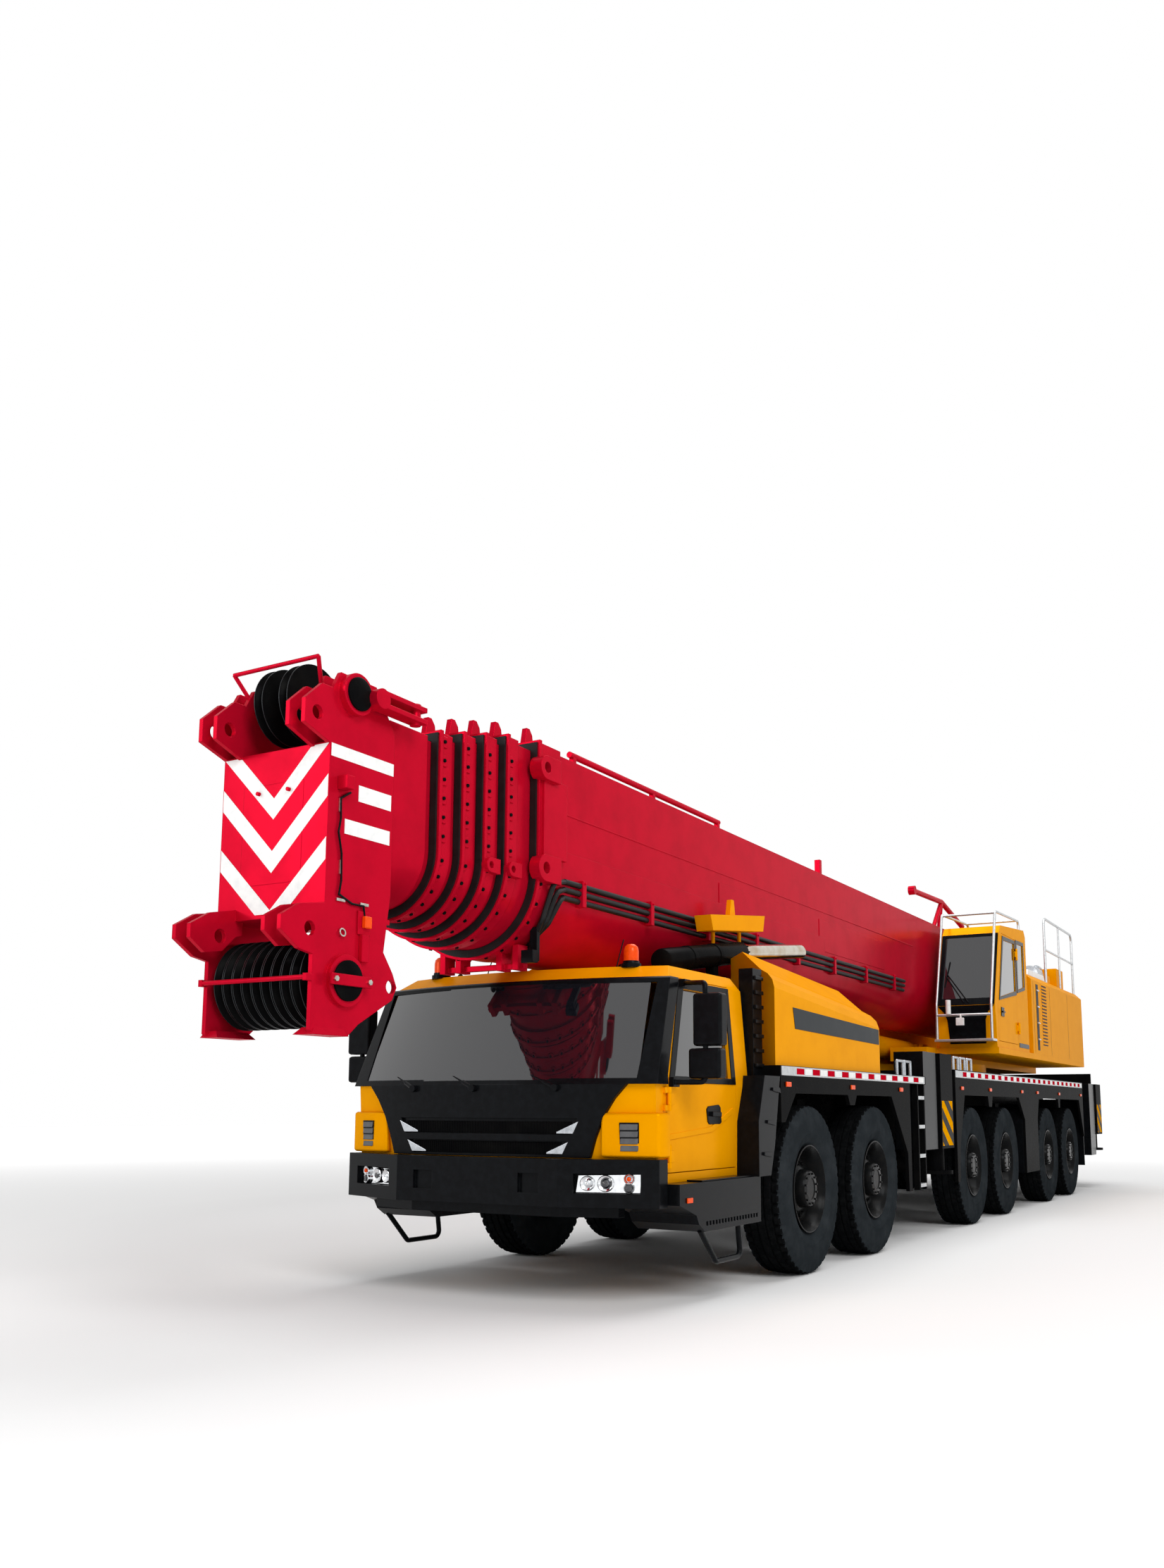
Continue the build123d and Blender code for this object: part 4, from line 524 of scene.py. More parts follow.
# Grained grey plastic: a dull middle grey.
grey_trim = coating("grey_trim", "5a5c5e", "48494b", 0.6, grain=100)
dress(yellow_enamel, "driver_cab")
dress(grey_trim, "cab_interior")
dress(black_plastic, "cab_fittings")
for label, side in SIDES:
    bm = bmesh.new()
    plan = [cab_face(0.93, CHEEK_AT, 0.034), cab_face(1.06, CHEEK_AT, 0.05), cab_face(1.2, CHEEK_AT, 0.05),
            (AXLE + 2.425, 1.335, 0), (AXLE + 2.36, 1.352, 0), (AXLE + 2.275, 1.35, 0),
            (AXLE + 2.275, 1.28, 0), (AXLE + 2.39, 1.27, 0),
            cab_face(1.2, CHEEK_AT, -0.02), cab_face(1.06, CHEEK_AT, -0.02), cab_face(0.93, CHEEK_AT, -0.02)]
    prism(bm, [(p[0], side * p[1], CHEEK_LOW) for p in plan], (0, 0, CHEEK_HIGH))
    piece(bm, f"corner_cheek_{label}", yellow_enamel, "carrier", bevel=0.02)
    bm = bmesh.new()
    prism(bm, [cab_face(side * y, z, 0.046) for y, z in LOUVRE], (0.007, 0, 0))
    piece(bm, f"louvre_pocket_{label}", black_plastic, "carrier")
    bm = bmesh.new()
    for k in range(SLATS):
        z = 1.06 + k * SLAT_PITCH
        a, b = cab_face(side * 1.08, z, 0.056), cab_face(side * 1.2, z, 0.056)
        prism(bm, [a, b, b + SLAT_LEAN, a + SLAT_LEAN], (0.006, 0, -0.012))
    piece(bm, f"louvre_slats_{label}", grey_trim, "carrier", bevel=0.002)

bm = bmesh.new()
for z, half in GRILLE_ROWS:
    for k in range(GRILLE_STEPS):
        y0, y1 = (-half + 2 * half * i / GRILLE_STEPS for i in (k, k + 1))
        prism(bm, [cab_face(y0, z + 0.004, 0.0105), cab_face(y1, z + 0.004, 0.0105),
                   cab_face(y1, z + 0.088, 0.0105), cab_face(y0, z + 0.088, 0.0105)], (0.003, 0, 0))
    for k in range(GRILLE_BARS):
        y = -half + 0.03 + 2 * (half - 0.03) * k / (GRILLE_BARS - 1)
        prism(bm, [cab_face(y - 0.003, z + 0.006, 0.013), cab_face(y + 0.003, z + 0.006, 0.013),
                   cab_face(y + 0.003, z + 0.086, 0.013), cab_face(y - 0.003, z + 0.086, 0.013)], (0.004, 0, 0))
piece(bm, "grille_mesh", chassis_enamel, "carrier")

bm = bmesh.new()
for _, side in SIDES:
    tall = Vector((0, side * 0.045, 0.085))
    for z, half in GRILLE_ROWS:
        a = cab_face(side * (half + 0.015), z + 0.006, 0.03)
        b = cab_face(side * (half - 0.115), z + 0.006, 0.014)
        prism(bm, [a, b, b + Vector((0, 0, 0.012)), a + tall], (0.006, 0, 0))
        prism(bm, [a, b, b + Vector((0, side * 0.04, 0.02)), a + tall], (-0.01, 0, 0))
piece(bm, "grille_wedges", silver, "carrier", bevel=0.003)

# Windscreen and wipers: one bowed laminated pane bonded flush over the cab's front, in two bands of
# narrow strips made solid, and three black wiper arms with blades along its lower edge.
PANE_HALF, PANE_STEPS, PANE_TAPER, PANE_OUT = 1.192, 28, 0.022, 0.0315
# Lower height, upper height, and how often the taper is taken at each.
PANE_BANDS = ((1.53, 1.88, 0, 1), (1.88, 2.228, 1, 2))
WIPERS, WIPER_LEAN, BLADE_HALF, BLADE_STEPS = (-0.62, -0.05, 0.62), 0.27, 0.36, 6
# Tinted glass with a solar film: dark, with the studio and the boom mirrored in it.
glass = bpy.data.materials.new("tinted_glass")
glass.use_nodes = True
pane = glass.node_tree.nodes["Principled BSDF"]
ripple = node(glass.node_tree, "ShaderNodeTexNoise", Scale=3.0, Detail=2.0)
faint = node(glass.node_tree, "ShaderNodeMapRange", {"Value": ripple.outputs["Fac"]})
faint.inputs["To Min"].default_value = 0.015
faint.inputs["To Max"].default_value = 0.03
glass.node_tree.links.new(faint.outputs[0], pane.inputs["Roughness"])
pane.inputs["Base Color"].default_value = linear("22242c")
pane.inputs["Transmission Weight"].default_value = 0.65
pane.inputs["IOR"].default_value = 1.45
pane.inputs["Coat Weight"].default_value = 0.8
pane.inputs["Coat IOR"].default_value = 1.7
dress(glass, "driver_cab_glass")
bm = bmesh.new()
for z0, z1, low_taper, high_taper in PANE_BANDS:
    narrow0, narrow1 = 1 - PANE_TAPER * low_taper, 1 - PANE_TAPER * high_taper
    for k in range(PANE_STEPS):
        y0, y1 = (-PANE_HALF + 2 * PANE_HALF * i / PANE_STEPS for i in (k, k + 1))
        quad = [cab_face(y0 * narrow0, z0, PANE_OUT), cab_face(y1 * narrow0, z0, PANE_OUT),
                cab_face(y1 * narrow1, z1, PANE_OUT), cab_face(y0 * narrow1, z1, PANE_OUT)]
        bm.faces.new([bm.verts.new(p) for p in quad])
bmesh.ops.remove_doubles(bm, verts=bm.verts, dist=0.0005)
bmesh.ops.solidify(bm, geom=bm.faces[:], thickness=0.006)
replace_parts(piece(bm, "windscreen", glass, "carrier"), "driver_cab_glass")

bm = bmesh.new()
for y in WIPERS:
    pivot = cab_face(y, 1.475, 0.045)
    elbow = cab_face(y - WIPER_LEAN, 1.585, 0.02)
    bar(bm, pivot + Vector((-0.03, 0, 0)), pivot + Vector((0.02, 0, 0)), 0.026)
    bar(bm, pivot, elbow, 0.010, 8)
    bar(bm, pivot, pivot + (elbow - pivot) * 0.4, 0.017, 8)
    for k in range(BLADE_STEPS):
        y0, y1 = (y - WIPER_LEAN - BLADE_HALF + 2 * BLADE_HALF * i / BLADE_STEPS for i in (k, k + 1))
        bar(bm, cab_face(y0, 1.592, 0.012), cab_face(y1, 1.592, 0.012), 0.009, 6)
piece(bm, "windscreen_wipers", black_plastic, "carrier")


# Bumper lamps: chrome reflectors on a bright plate in each slanted corner of the moulded bumper, with
# a small orange bulb and dark lenses. Bowls and lenses are lathed along the corner's own direction.
def on_corner(side, share, out, z):
    """Point on the bumper's slanted corner, mirrored for the right."""
    p = Vector((AXLE + 2.68, 0.69, z)) + Vector((-0.23, 0.66, 0)) * share + CORNER_OUT * out
    return Vector((p.x, side * p.y, p.z))


CORNER_OUT = Vector((660, 230, 0)).normalized()
LAMP_PLATE = ((0.175, 0.775), (0.805, 0.774), (0.815, 0.896), (0.2, 0.886))
# Place along the corner, height and radius of each bowl.
BOWLS = ((0.29, 0.835, 0.05), (0.47, 0.835, 0.056), (0.7, 0.807, 0.036), (0.7, 0.866, 0.036))
BULBS, LENSES = ((0.7, 0.866, 0.016),), ((0.47, 0.835, 0.023), (0.7, 0.807, 0.025))
# Vapour-coated reflector: a clear mirror, a little grey.
chrome = coating("lamp_chrome", "e6e8ea", "cfd2d5", 0.08, metal=1.0, grain=30, edge=2)
dress(black_plastic, "front_bumper")
for label, side in SIDES:
    facing = Vector((CORNER_OUT.x, side * CORNER_OUT.y, 0))
    bm = bmesh.new()
    prism(bm, [on_corner(side, s, -0.06, z) for s, z in LAMP_PLATE], facing * 0.012)
    for s, z, radius in BOWLS:
        spun(bm, [(radius, 0.0), (radius, 0.022), (radius * 0.9, 0.026), (radius * 0.5, 0.012), (0.012, 0.008),
                  (0.012, 0.03), (0.002, 0.033)], on_corner(side, s, -0.05, z), facing, 28)
    piece(bm, f"lamp_cluster_{label}", chrome, "carrier")
    for name, filling, spots in (("turn_lamp", amber_lens, BULBS), ("dip_lens", glass, LENSES)):
        bm = bmesh.new()
        for s, z, radius in spots:
            rings = spun(bm, [(radius, 0.0), (radius * 0.93, 0.012), (0.002, 0.018)],
                         on_corner(side, s, -0.03, z), facing, 20)
            capped(bm, rings, 0)
        piece(bm, f"{name}_{label}", filling, "carrier")


# Cab doors: painted CAD doors with a pane, a black window surround, a recessed handle, a pressed crease
# and two mirrors on a bent tube. All of it rides on the door that carries it.
def door_wall(side, x, z, out):
    """Point on the outside of a door."""
    return Vector((AXLE + x, side * (cab_at(z)[1] + out), z))


def rounded(points, radius):
    """The polyline with each inner corner replaced by a short arc."""
    points = [Vector(p) for p in points]
    path = [points[0]]
    for a, b, c in zip(points, points[1:], points[2:]):
        into, away = (a - b).normalized(), (c - b).normalized()
        cut = radius / math.tan(into.angle(away) / 2)
        start, end = b + into * cut, b + away * cut
        path += [start.lerp(b, t).lerp(b.lerp(end, t), t) for t in (0, 0.25, 0.5, 0.75, 1)]
    return path + [points[-1]]


def ring(bm, outer, inner, push):
    """Adds a flat frame between two outlines of the same count."""
    for i in range(len(outer)):
        j = (i + 1) % len(outer)
        prism(bm, [outer[i], outer[j], inner[j], inner[i]], push)


DOOR_WINDOW = ((1.19, 1.56), (1.19, 2.19), (1.89, 2.19), (2.12, 1.56))
DOOR_RIM = ((1.118, 1.515), (1.118, 2.252), (1.95, 2.252), (2.215, 1.515))
HANDLE_DISH = ((1.375, 1.235), (1.395, 1.345), (1.425, 1.365), (1.60, 1.352), (1.625, 1.33), (1.605, 1.24),
               (1.58, 1.222), (1.40, 1.222))
HANDLE = ((1.42, 1.275), (1.57, 1.28), (1.57, 1.315), (1.42, 1.31))
CREASE = ((2.2, 1.12), (1.52, 1.165), (1.17, 1.3), (1.17, 1.345), (1.55, 1.205), (2.2, 1.16))
MIRROR_X, MIRROR_Y = AXLE + 2.125, 1.54
SHELLS = (((MIRROR_Y - 0.08, MIRROR_Y + 0.125), (1.77, 2.12)),
          ((MIRROR_Y - 0.115, MIRROR_Y + 0.115), (1.545, 1.74)))
FACES = (((MIRROR_Y - 0.065, MIRROR_Y + 0.11), (1.79, 2.1)), ((MIRROR_Y - 0.1, MIRROR_Y + 0.1), (1.56, 1.725)))
SHELL_WALL = 0.008
for label, side in SIDES:
    body = f"cab_door_{label}"
    dress(yellow_enamel, body)
    bm = bmesh.new()
    prism(bm, [door_wall(side, x, z, -0.03) for x, z in DOOR_WINDOW], (0, side * 0.006, 0))
    piece(bm, f"door_glass_{label}", glass, body)
    bm = bmesh.new()
    ring(bm, [door_wall(side, x, z, 0.0005) for x, z in DOOR_RIM],
         [door_wall(side, x, z, 0.0005) for x, z in DOOR_WINDOW], (0, side * 0.007, 0))
    prism(bm, [door_wall(side, x, z, -0.004) for x, z in HANDLE_DISH], (0, side * 0.012, 0))
    prism(bm, [door_wall(side, x, z, 0.008) for x, z in HANDLE], (0, side * 0.022, 0))
    piece(bm, f"door_surround_{label}", black_plastic, body, bevel=0.003)
    bm = bmesh.new()
    prism(bm, [door_wall(side, x, z, -0.003) for x, z in CREASE], (0, side * 0.009, 0))
    piece(bm, f"door_crease_{label}", yellow_enamel, body, bevel=0.004)
    bm = bmesh.new()
    for y, z in SHELLS:
        brick(bm, (MIRROR_X - 0.083, MIRROR_X + 0.033),
              (side * (y[0] - SHELL_WALL), side * (y[1] + SHELL_WALL)), (z[0] - SHELL_WALL, z[1] + SHELL_WALL))
    piece(bm, f"mirror_shells_{label}", black_plastic, body, bevel=0.022)
    bm = bmesh.new()
    arm = [(AXLE + 1.915, side * 1.262, 2.2285), (MIRROR_X, side * MIRROR_Y, 2.2),
           (MIRROR_X, side * MIRROR_Y, 1.516), (AXLE + 2.183, side * 1.308, 1.516)]
    hose(bm, rounded(arm, 0.04), 0.0195, 12)
    brick(bm, (AXLE + 1.86, AXLE + 1.955), (side * 1.245, side * 1.295), (2.2, 2.255))
    brick(bm, (AXLE + 2.125, AXLE + 2.22), (side * 1.302, side * 1.34), (1.483, 1.55))
    piece(bm, f"mirror_arms_{label}", black_plastic, body, bevel=0.003)
    bm = bmesh.new()
    for y, z in FACES:
        brick(bm, (MIRROR_X - 0.0855, MIRROR_X - 0.08), (side * y[0], side * y[1]), z)
    piece(bm, f"mirror_faces_{label}", chrome, body, bevel=0.002)

# Cab roof: an orange beacon on a black foot at each corner, with a small button and a whip aerial.
# Lathed and screwed to the roof.
BEACON_X, BEACON_Y = AXLE + 1.98, 0.87
feet, domes = bmesh.new(), bmesh.new()
for _, side in SIDES:
    for bm, outline, spot, steps in (
            (feet, [(0.075, 0), (0.075, 0.03), (0.062, 0.034), (0.06, 0.05)],
             (BEACON_X, side * BEACON_Y, 2.352), 24),
            (feet, [(0.03, 0), (0.024, 0.03), (0.012, 0.045)], (AXLE + 1.9, side * 0.74, 2.35), 16),
            (domes, [(0.056, 0), (0.056, 0.075), (0.05, 0.105), (0.03, 0.125), (0.004, 0.13)],
             (BEACON_X, side * BEACON_Y, 2.4), 28)):
        capped(bm, spun(bm, outline, spot, (0, 0, 1), steps), -1)
    bar(feet, (AXLE + 1.75, side * 0.6, 2.35), (AXLE + 1.62, side * 0.6, 2.62), 0.005, 6)
piece(feet, "beacon_bases", black_plastic, "carrier")
piece(domes, "beacon_domes", amber_lens, "carrier")

# Cab flanks: ribs on the intake column, scoops in the fenders, treads on the sill steps and an orange
# lamp on each sill. Moulded black plastic, laid on the CAD's fittings.
SCOOPS = ((0.75, 1.47), (0.86, 1.22), (0.93, 0.98))
SCOOP = ((-0.075, -0.012), (0.085, 0.006), (0.08, 0.03), (-0.06, 0.03))
bm, lamps = bmesh.new(), bmesh.new()
for k in range(7):
    z = 1.66 + k * 0.115
    brick(bm, (AXLE + 0.675, AXLE + 0.83), (1.331, 1.352), (z, z + 0.03))
for _, side in SIDES:
    for x, z in SCOOPS:
        prism(bm, [(AXLE + x + dx, side * 1.4755, z + dz) for dx, dz in SCOOP], (0, side * 0.014, 0))
    brick(bm, (AXLE + 1.0, AXLE + 1.95), (side * 1.3, side * 1.42), (0.8305, 0.842))
    for k in range(18):
        x = AXLE + 1.02 + k * 0.05
        brick(bm, (x, x + 0.025), (side * 1.4305, side * 1.438), (0.53, 0.56))
    brick(lamps, (AXLE + 2.13, AXLE + 2.21), (side * 1.4305, side * 1.442), (0.7, 0.735))
piece(bm, "cab_side_trim", black_plastic, "carrier", bevel=0.004)
piece(lamps, "sill_lamps", amber_lens, "carrier", bevel=0.004)

# Engine covers: painted hoods from the CAD over a plain engine block, each with a bare dark grey band
# on its flank. The band is a thin plate laid on the hood.
HOOD_SIDE = 1.4302
BAND = ((0.26, 2.165), (-1.935, 2.1), (-1.94, 1.955), (0.215, 1.99))
# Vinyl film: dark slate grey, dull.
band_grey = coating("dark_grey_band", "23272a", "2b2f32", 0.4, grain=200, edge=2, shine=0.1)
dress(yellow_enamel, "engine_hood")
dress(chassis_enamel, "engine_block")
bm = bmesh.new()
for _, side in SIDES:
    prism(bm, [(AXLE + x, side * HOOD_SIDE, z) for x, z in BAND], (0, side * 0.004, 0))
piece(bm, "hood_bands", band_grey, "carrier", bevel=0.001)

# Exhaust: a black muffler with straps and a bolted end on a post, and a bright tail pipe whose mouth is
# cut at a slant. Both are lathed along their own run and stand for the CAD exhaust.
MUFFLER_FRONT, MUFFLER_REAR = Vector((AXLE + 1.31, 0.755, 2.48)), Vector((AXLE - 0.2, 0.755, 2.71))
PIPE_END = Vector((AXLE - 1.65, 0.755, 2.88))
MUFFLER_RADIUS, FLANGE_BOLTS, FLANGE_CIRCLE = 0.098, 10, 0.085
PIPE_OUTER, PIPE_INNER = 0.07, 0.064
# Polished stainless pipe: a bright mirror that heat has turned straw brown in places.
bright_pipe = coating("polished_tail_pipe", "c9c2b4", "a78f6a", 0.16, metal=1.0, grain=200, edge=3)
dress(chassis_enamel, "exhaust")
run = MUFFLER_REAR - MUFFLER_FRONT
long, ahead = run.length, run.normalized()
bm = bmesh.new()
rings = spun(bm, [(0.02, 0), (0.075, 0.004), (0.092, 0.016), (MUFFLER_RADIUS, 0.04),
                  (MUFFLER_RADIUS, long - 0.04), (0.092, long - 0.016), (0.075, long - 0.004), (0.05, long)],
             MUFFLER_FRONT, run, 48)
capped(bm, rings, 0)
capped(bm, rings, -1)
for share in (0.3, 0.62):
    spun(bm, [(0.0985, -0.028), (0.103, -0.028), (0.103, 0.028), (0.0985, 0.028)],
         MUFFLER_FRONT + run * share, run, 48)
for k in range(FLANGE_BOLTS):
    angle = 2 * math.pi * k / FLANGE_BOLTS
    seat = MUFFLER_REAR + Vector((0, math.cos(angle), math.sin(angle))) * FLANGE_CIRCLE
    bar(bm, seat - ahead * 0.012, seat + ahead * 0.014, 0.008, 6)
brick(bm, (AXLE + 0.34, AXLE + 0.42), (0.715, 0.795), (1.678, 2.56))
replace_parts(piece(bm, "muffler", chassis_enamel, "carrier"), "exhaust")
run = PIPE_END - MUFFLER_REAR
bm = bmesh.new()
rings = spun(bm, [(PIPE_OUTER, -0.02), (PIPE_OUTER, run.length), (PIPE_INNER, run.length), (PIPE_INNER, 0.25)],
             MUFFLER_REAR, run, 40)
for circle in rings:
    for vert in circle[1:3]:
        vert.co += run.normalized() * (0.12 - 1.2 * (PIPE_END.z - vert.co.z)) * -0.35
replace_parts(piece(bm, "tail_pipe", bright_pipe, "carrier"), "exhaust")

# Stowed hook block: a painted steel block from the CAD, strapped down behind the cab, with two tie bars
# and three pins through its cheek. Bars and pins are turned and plated.
# Zinc plating: a bright, slightly yellow grey.
zinc = coating("zinc_plated_steel", "c2c1b8", "9b9a92", 0.3, metal=1.0, grain=30, edge=2)
dress(yellow_enamel, "hook_block")
low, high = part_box("hook_block")
middle = (low + high) / 2
bm = bmesh.new()
for share in (0.3, 0.42):
    z = low.z + share * (high.z - low.z) + 0.12
    bar(bm, (low.x + 0.06, high.y + 0.012, z), (high.x - 0.06, high.y + 0.012, z), 0.011, 10)
for share in (0.2, 0.5, 0.8):
    x = low.x + share * (high.x - low.x)
    bar(bm, (x, high.y - 0.02, middle.z), (x, high.y + 0.026, middle.z), 0.024, 12)
piece(bm, "hook_block_pins", zinc, "carrier")


# Operator's cab: a painted shell from the CAD with one raked pane in a black border, a black lower panel,
# a wiper, black-rimmed side windows, a seat and white lamps. One window and the handle ride on the door.
def op_front(y, z, out):
    """Point on the raked front of the operator's cab."""
    x = -6.68 + 0.06 * (z - 2.14) / 0.55 if z < 2.69 else -6.62 - 0.37 * (z - 2.69) / 0.99
    return Vector((AXLE + x + out, y, z))


def op_flank(outline, y):
    """Points on a flank of the operator's cab from pairs of place and height."""
    return [(AXLE + x, y, z) for x, z in outline]


OP_SIDE, OP_PANE = 1.4602, 1.448
FRONT_BORDER = ((0.708, 2.695), (1.452, 2.695), (1.452, 3.676), (0.708, 3.676))
FRONT_OPENING = ((0.755, 2.785), (1.41, 2.785), (1.41, 3.63), (0.755, 3.63))
FRONT_PANE = ((0.752, 2.78), (1.413, 2.78), (1.413, 3.633), (0.752, 3.633))
LOWER_PANEL = ((0.85, 2.19), (1.32, 2.19), (1.33, 2.5), (1.365, 2.6), (1.452, 2.69), (0.708, 2.69),
               (0.79, 2.6), (0.83, 2.5))
# Two arms and the blade: from, to and radius.
OP_WIPER = (((1.12, 2.73, 0.03), (0.82, 3.12, 0.025), 0.009), ((1.06, 2.73, 0.03), (0.8, 3.1, 0.025), 0.009),
            ((0.84, 3.3, 0.018), (0.79, 2.95, 0.018), 0.008))
QUARTER_PANE = ((-8.0, 2.99), (-8.38, 3.06), (-8.38, 3.65), (-8.0, 3.64))
QUARTER_RIM = ((-7.925, 2.94), (-8.425, 3.02), (-8.425, 3.7), (-7.925, 3.69))
RIGHT_PANE = ((-6.85, 2.78), (-8.35, 2.78), (-8.35, 3.64), (-7.16, 3.64))
SILL = ((-7.95, 2.19), (-8.55, 2.19), (-8.55, 2.25), (-7.95, 2.25))
OP_DOOR_PANE = ((-6.92, 2.81), (-7.2, 3.6), (-7.83, 3.62), (-7.83, 2.96))
OP_DOOR_RIM = ((-6.845, 2.765), (-7.15, 3.655), (-7.885, 3.668), (-7.885, 2.91))
OP_HANDLE_DISH = ((-6.93, 2.56), (-7.1, 2.56), (-7.1, 2.68), (-6.95, 2.68))
SEAT_BACK = ((-7.88, 2.6), (-8.02, 3.25), (-8.12, 3.25), (-8.0, 2.6))
# Painted lamp housings: a clean warm white.
white_lamp = coating("white_lamp_housing", "f2f2f0", "e2e2e0", 0.4, grain=50, edge=4)
dress(yellow_enamel, "turntable", "operator_cab", "operator_cab_door")
dress(glass, "operator_cab_glass")
bm = bmesh.new()
ring(bm, [op_front(y, z, 0.001) for y, z in FRONT_BORDER], [op_front(y, z, 0.001) for y, z in FRONT_OPENING],
     (0.008, 0, 0.003))
prism(bm, [op_front(y, z, 0.001) for y, z in LOWER_PANEL], (0.007, 0, 0))
for start, end, radius in OP_WIPER:
    hose(bm, [op_front(*start), op_front(*end)], radius)
piece(bm, "op_cab_front", black_plastic, "superstructure", bevel=0.002)
bm = bmesh.new()
prism(bm, [op_front(y, z, 0.003) for y, z in FRONT_PANE], (0.005, 0, 0.002))
prism(bm, op_flank(QUARTER_PANE, OP_PANE), (0, 0.006, 0))
prism(bm, op_flank(RIGHT_PANE, 0.712), (0, 0.006, 0))
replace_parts(piece(bm, "op_cab_panes", glass, "superstructure"), "operator_cab_glass")
bm = bmesh.new()
ring(bm, op_flank(QUARTER_RIM, OP_SIDE), op_flank(QUARTER_PANE, OP_SIDE), (0, 0.007, 0))
prism(bm, op_flank(SILL, OP_SIDE), (0, 0.006, 0))
piece(bm, "op_cab_side_trim", black_plastic, "superstructure", bevel=0.002)
bm = bmesh.new()
prism(bm, op_flank(OP_DOOR_PANE, OP_PANE), (0, 0.006, 0))
piece(bm, "op_door_pane", glass, "operator_cab_door")
bm = bmesh.new()
ring(bm, op_flank(OP_DOOR_RIM, OP_SIDE), op_flank(OP_DOOR_PANE, OP_SIDE), (0, 0.007, 0))
prism(bm, op_flank(OP_HANDLE_DISH, OP_SIDE), (0, 0.01, 0))
bar(bm, (AXLE - 6.96, 1.478, 2.62), (AXLE - 7.08, 1.478, 2.62), 0.012)
piece(bm, "op_door_trim", black_plastic, "operator_cab_door", bevel=0.002)
bm = bmesh.new()
brick(bm, (AXLE - 7.95, AXLE - 7.45), (0.9, 1.3), (2.5, 2.62))
prism(bm, op_flank(SEAT_BACK, 0.92), (0, 0.36, 0))
brick(bm, (AXLE - 7.85, AXLE - 7.55), (1.0, 1.2), (2.16, 2.52))
piece(bm, "op_seat", black_plastic, "superstructure", bevel=0.02)
bm = bmesh.new()
brick(bm, (AXLE - 6.492, AXLE - 6.44), (0.99, 1.09), (2.42, 2.52))
brick(bm, (AXLE - 6.52, AXLE - 6.49), (1.03, 1.05), (2.5, 2.57))
bar(bm, (AXLE - 6.505, 0.88, 2.57), (AXLE - 6.505, 0.88, 2.76), 0.034)
piece(bm, "op_cab_lamps", white_lamp, "superstructure", bevel=0.006)

# Power pack and rails: a painted housing from the CAD with a ladder recess, seams, a column of pressed
# louvres, boxes, a silencer and a white tank cover on its roof, inside tube rails of bare aluminium.
PACK_SIDE, PACK_ROOF = 1.4752, 3.311
LOUVRES, LOUVRE_PITCH = 19, 0.049
RUNGS, RUNG_PITCH = 4, 0.24
TANK_COVER = ((-9.05, PACK_ROOF), (-9.12, 3.4), (-10.2, 3.4), (-10.3, PACK_ROOF))
dress(yellow_enamel, "power_pack")
dress(aluminium, "superstructure_rails")
# Flat black sheets on the flank: painted shade in the ladder recess and under each louvre's lip, and three thin
# dark seams of the housing.
bm = bmesh.new()
brick(bm, (AXLE - 9.25, AXLE - 9.1), (1.4755, 1.478), (2.2, 3.17))
for x in (-8.93, -10.1, -11.5):
    brick(bm, (AXLE + x - 0.003, AXLE + x + 0.003), (PACK_SIDE, 1.4762), (2.16, 3.2))
for k in range(LOUVRES):
    z = 2.285 + k * LOUVRE_PITCH
    brick(bm, (AXLE - 9.84, AXLE - 9.5), (PACK_SIDE, 1.4765), (z, z + 0.018))
piece(bm, "pack_painted_shade_and_seams", hazard_print_and_shade_black, "superstructure")
bm = bmesh.new()
for k in range(LOUVRES):
    x, z = AXLE - 9.845, 2.302 + k * LOUVRE_PITCH
    prism(bm, [(x, PACK_SIDE, z + 0.03), (x, PACK_SIDE, z), (x, 1.487, z)], (0.35, 0, 0))
brick(bm, (AXLE - 12.2, AXLE - 11.65), (0.95, 1.3), (PACK_ROOF, 3.66))
brick(bm, (AXLE - 11.35, AXLE - 11.1), (1.0, 1.25), (PACK_ROOF, 3.5))
piece(bm, "pack_louvres", yellow_enamel, "superstructure", bevel=0.004)
bm = bmesh.new()
for k in range(RUNGS):
    z = 2.36 + k * RUNG_PITCH
    bar(bm, (AXLE - 9.24, 1.486, z), (AXLE - 9.11, 1.486, z), 0.013)
spun(bm, [(0.03, 0), (0.14, 0.03), (0.15, 0.08), (0.15, 0.42), (0.14, 0.47), (0.03, 0.5)],
     (AXLE - 10.95, 1.1, 3.46), (1, 0, 0), 32)
brick(bm, (AXLE - 10.85, AXLE - 10.6), (1.02, 1.18), (PACK_ROOF, 3.36))
bend = [(AXLE + x, 1.1, z) for x, z in ((-10.9, 3.5), (-11.05, 3.62), (-11.3, 3.62), (-11.3, 3.45))]
hose(bm, rounded(bend, 0.06), 0.05, 12)
piece(bm, "pack_silencer", silver, "superstructure")
bm = bmesh.new()
prism(bm, [(AXLE + x, 0.86, z) for x, z in TANK_COVER], (0, 0.52, 0))
piece(bm, "pack_tank_cover", white_lamp, "superstructure", bevel=0.01)

# Winch and lift cylinder: a bare drum with machined grooves, lathed with one ridge for each turn, and
# a painted barrel with a ground rod. Drum flanges, barrel and rod are CAD nodes.
TURNS, TURN_PITCH, FIRST_TURN = 46, 0.0237, -0.545
GROOVE, RIDGE_SIDE, RIDGE = 0.331, 0.3405, 0.343
# Machined steel under grease: brownish grey, half bright.
drum_steel = coating("greased_drum_steel", "5d5b56", "45433f", 0.4, metal=0.8, grain=20, edge=1)
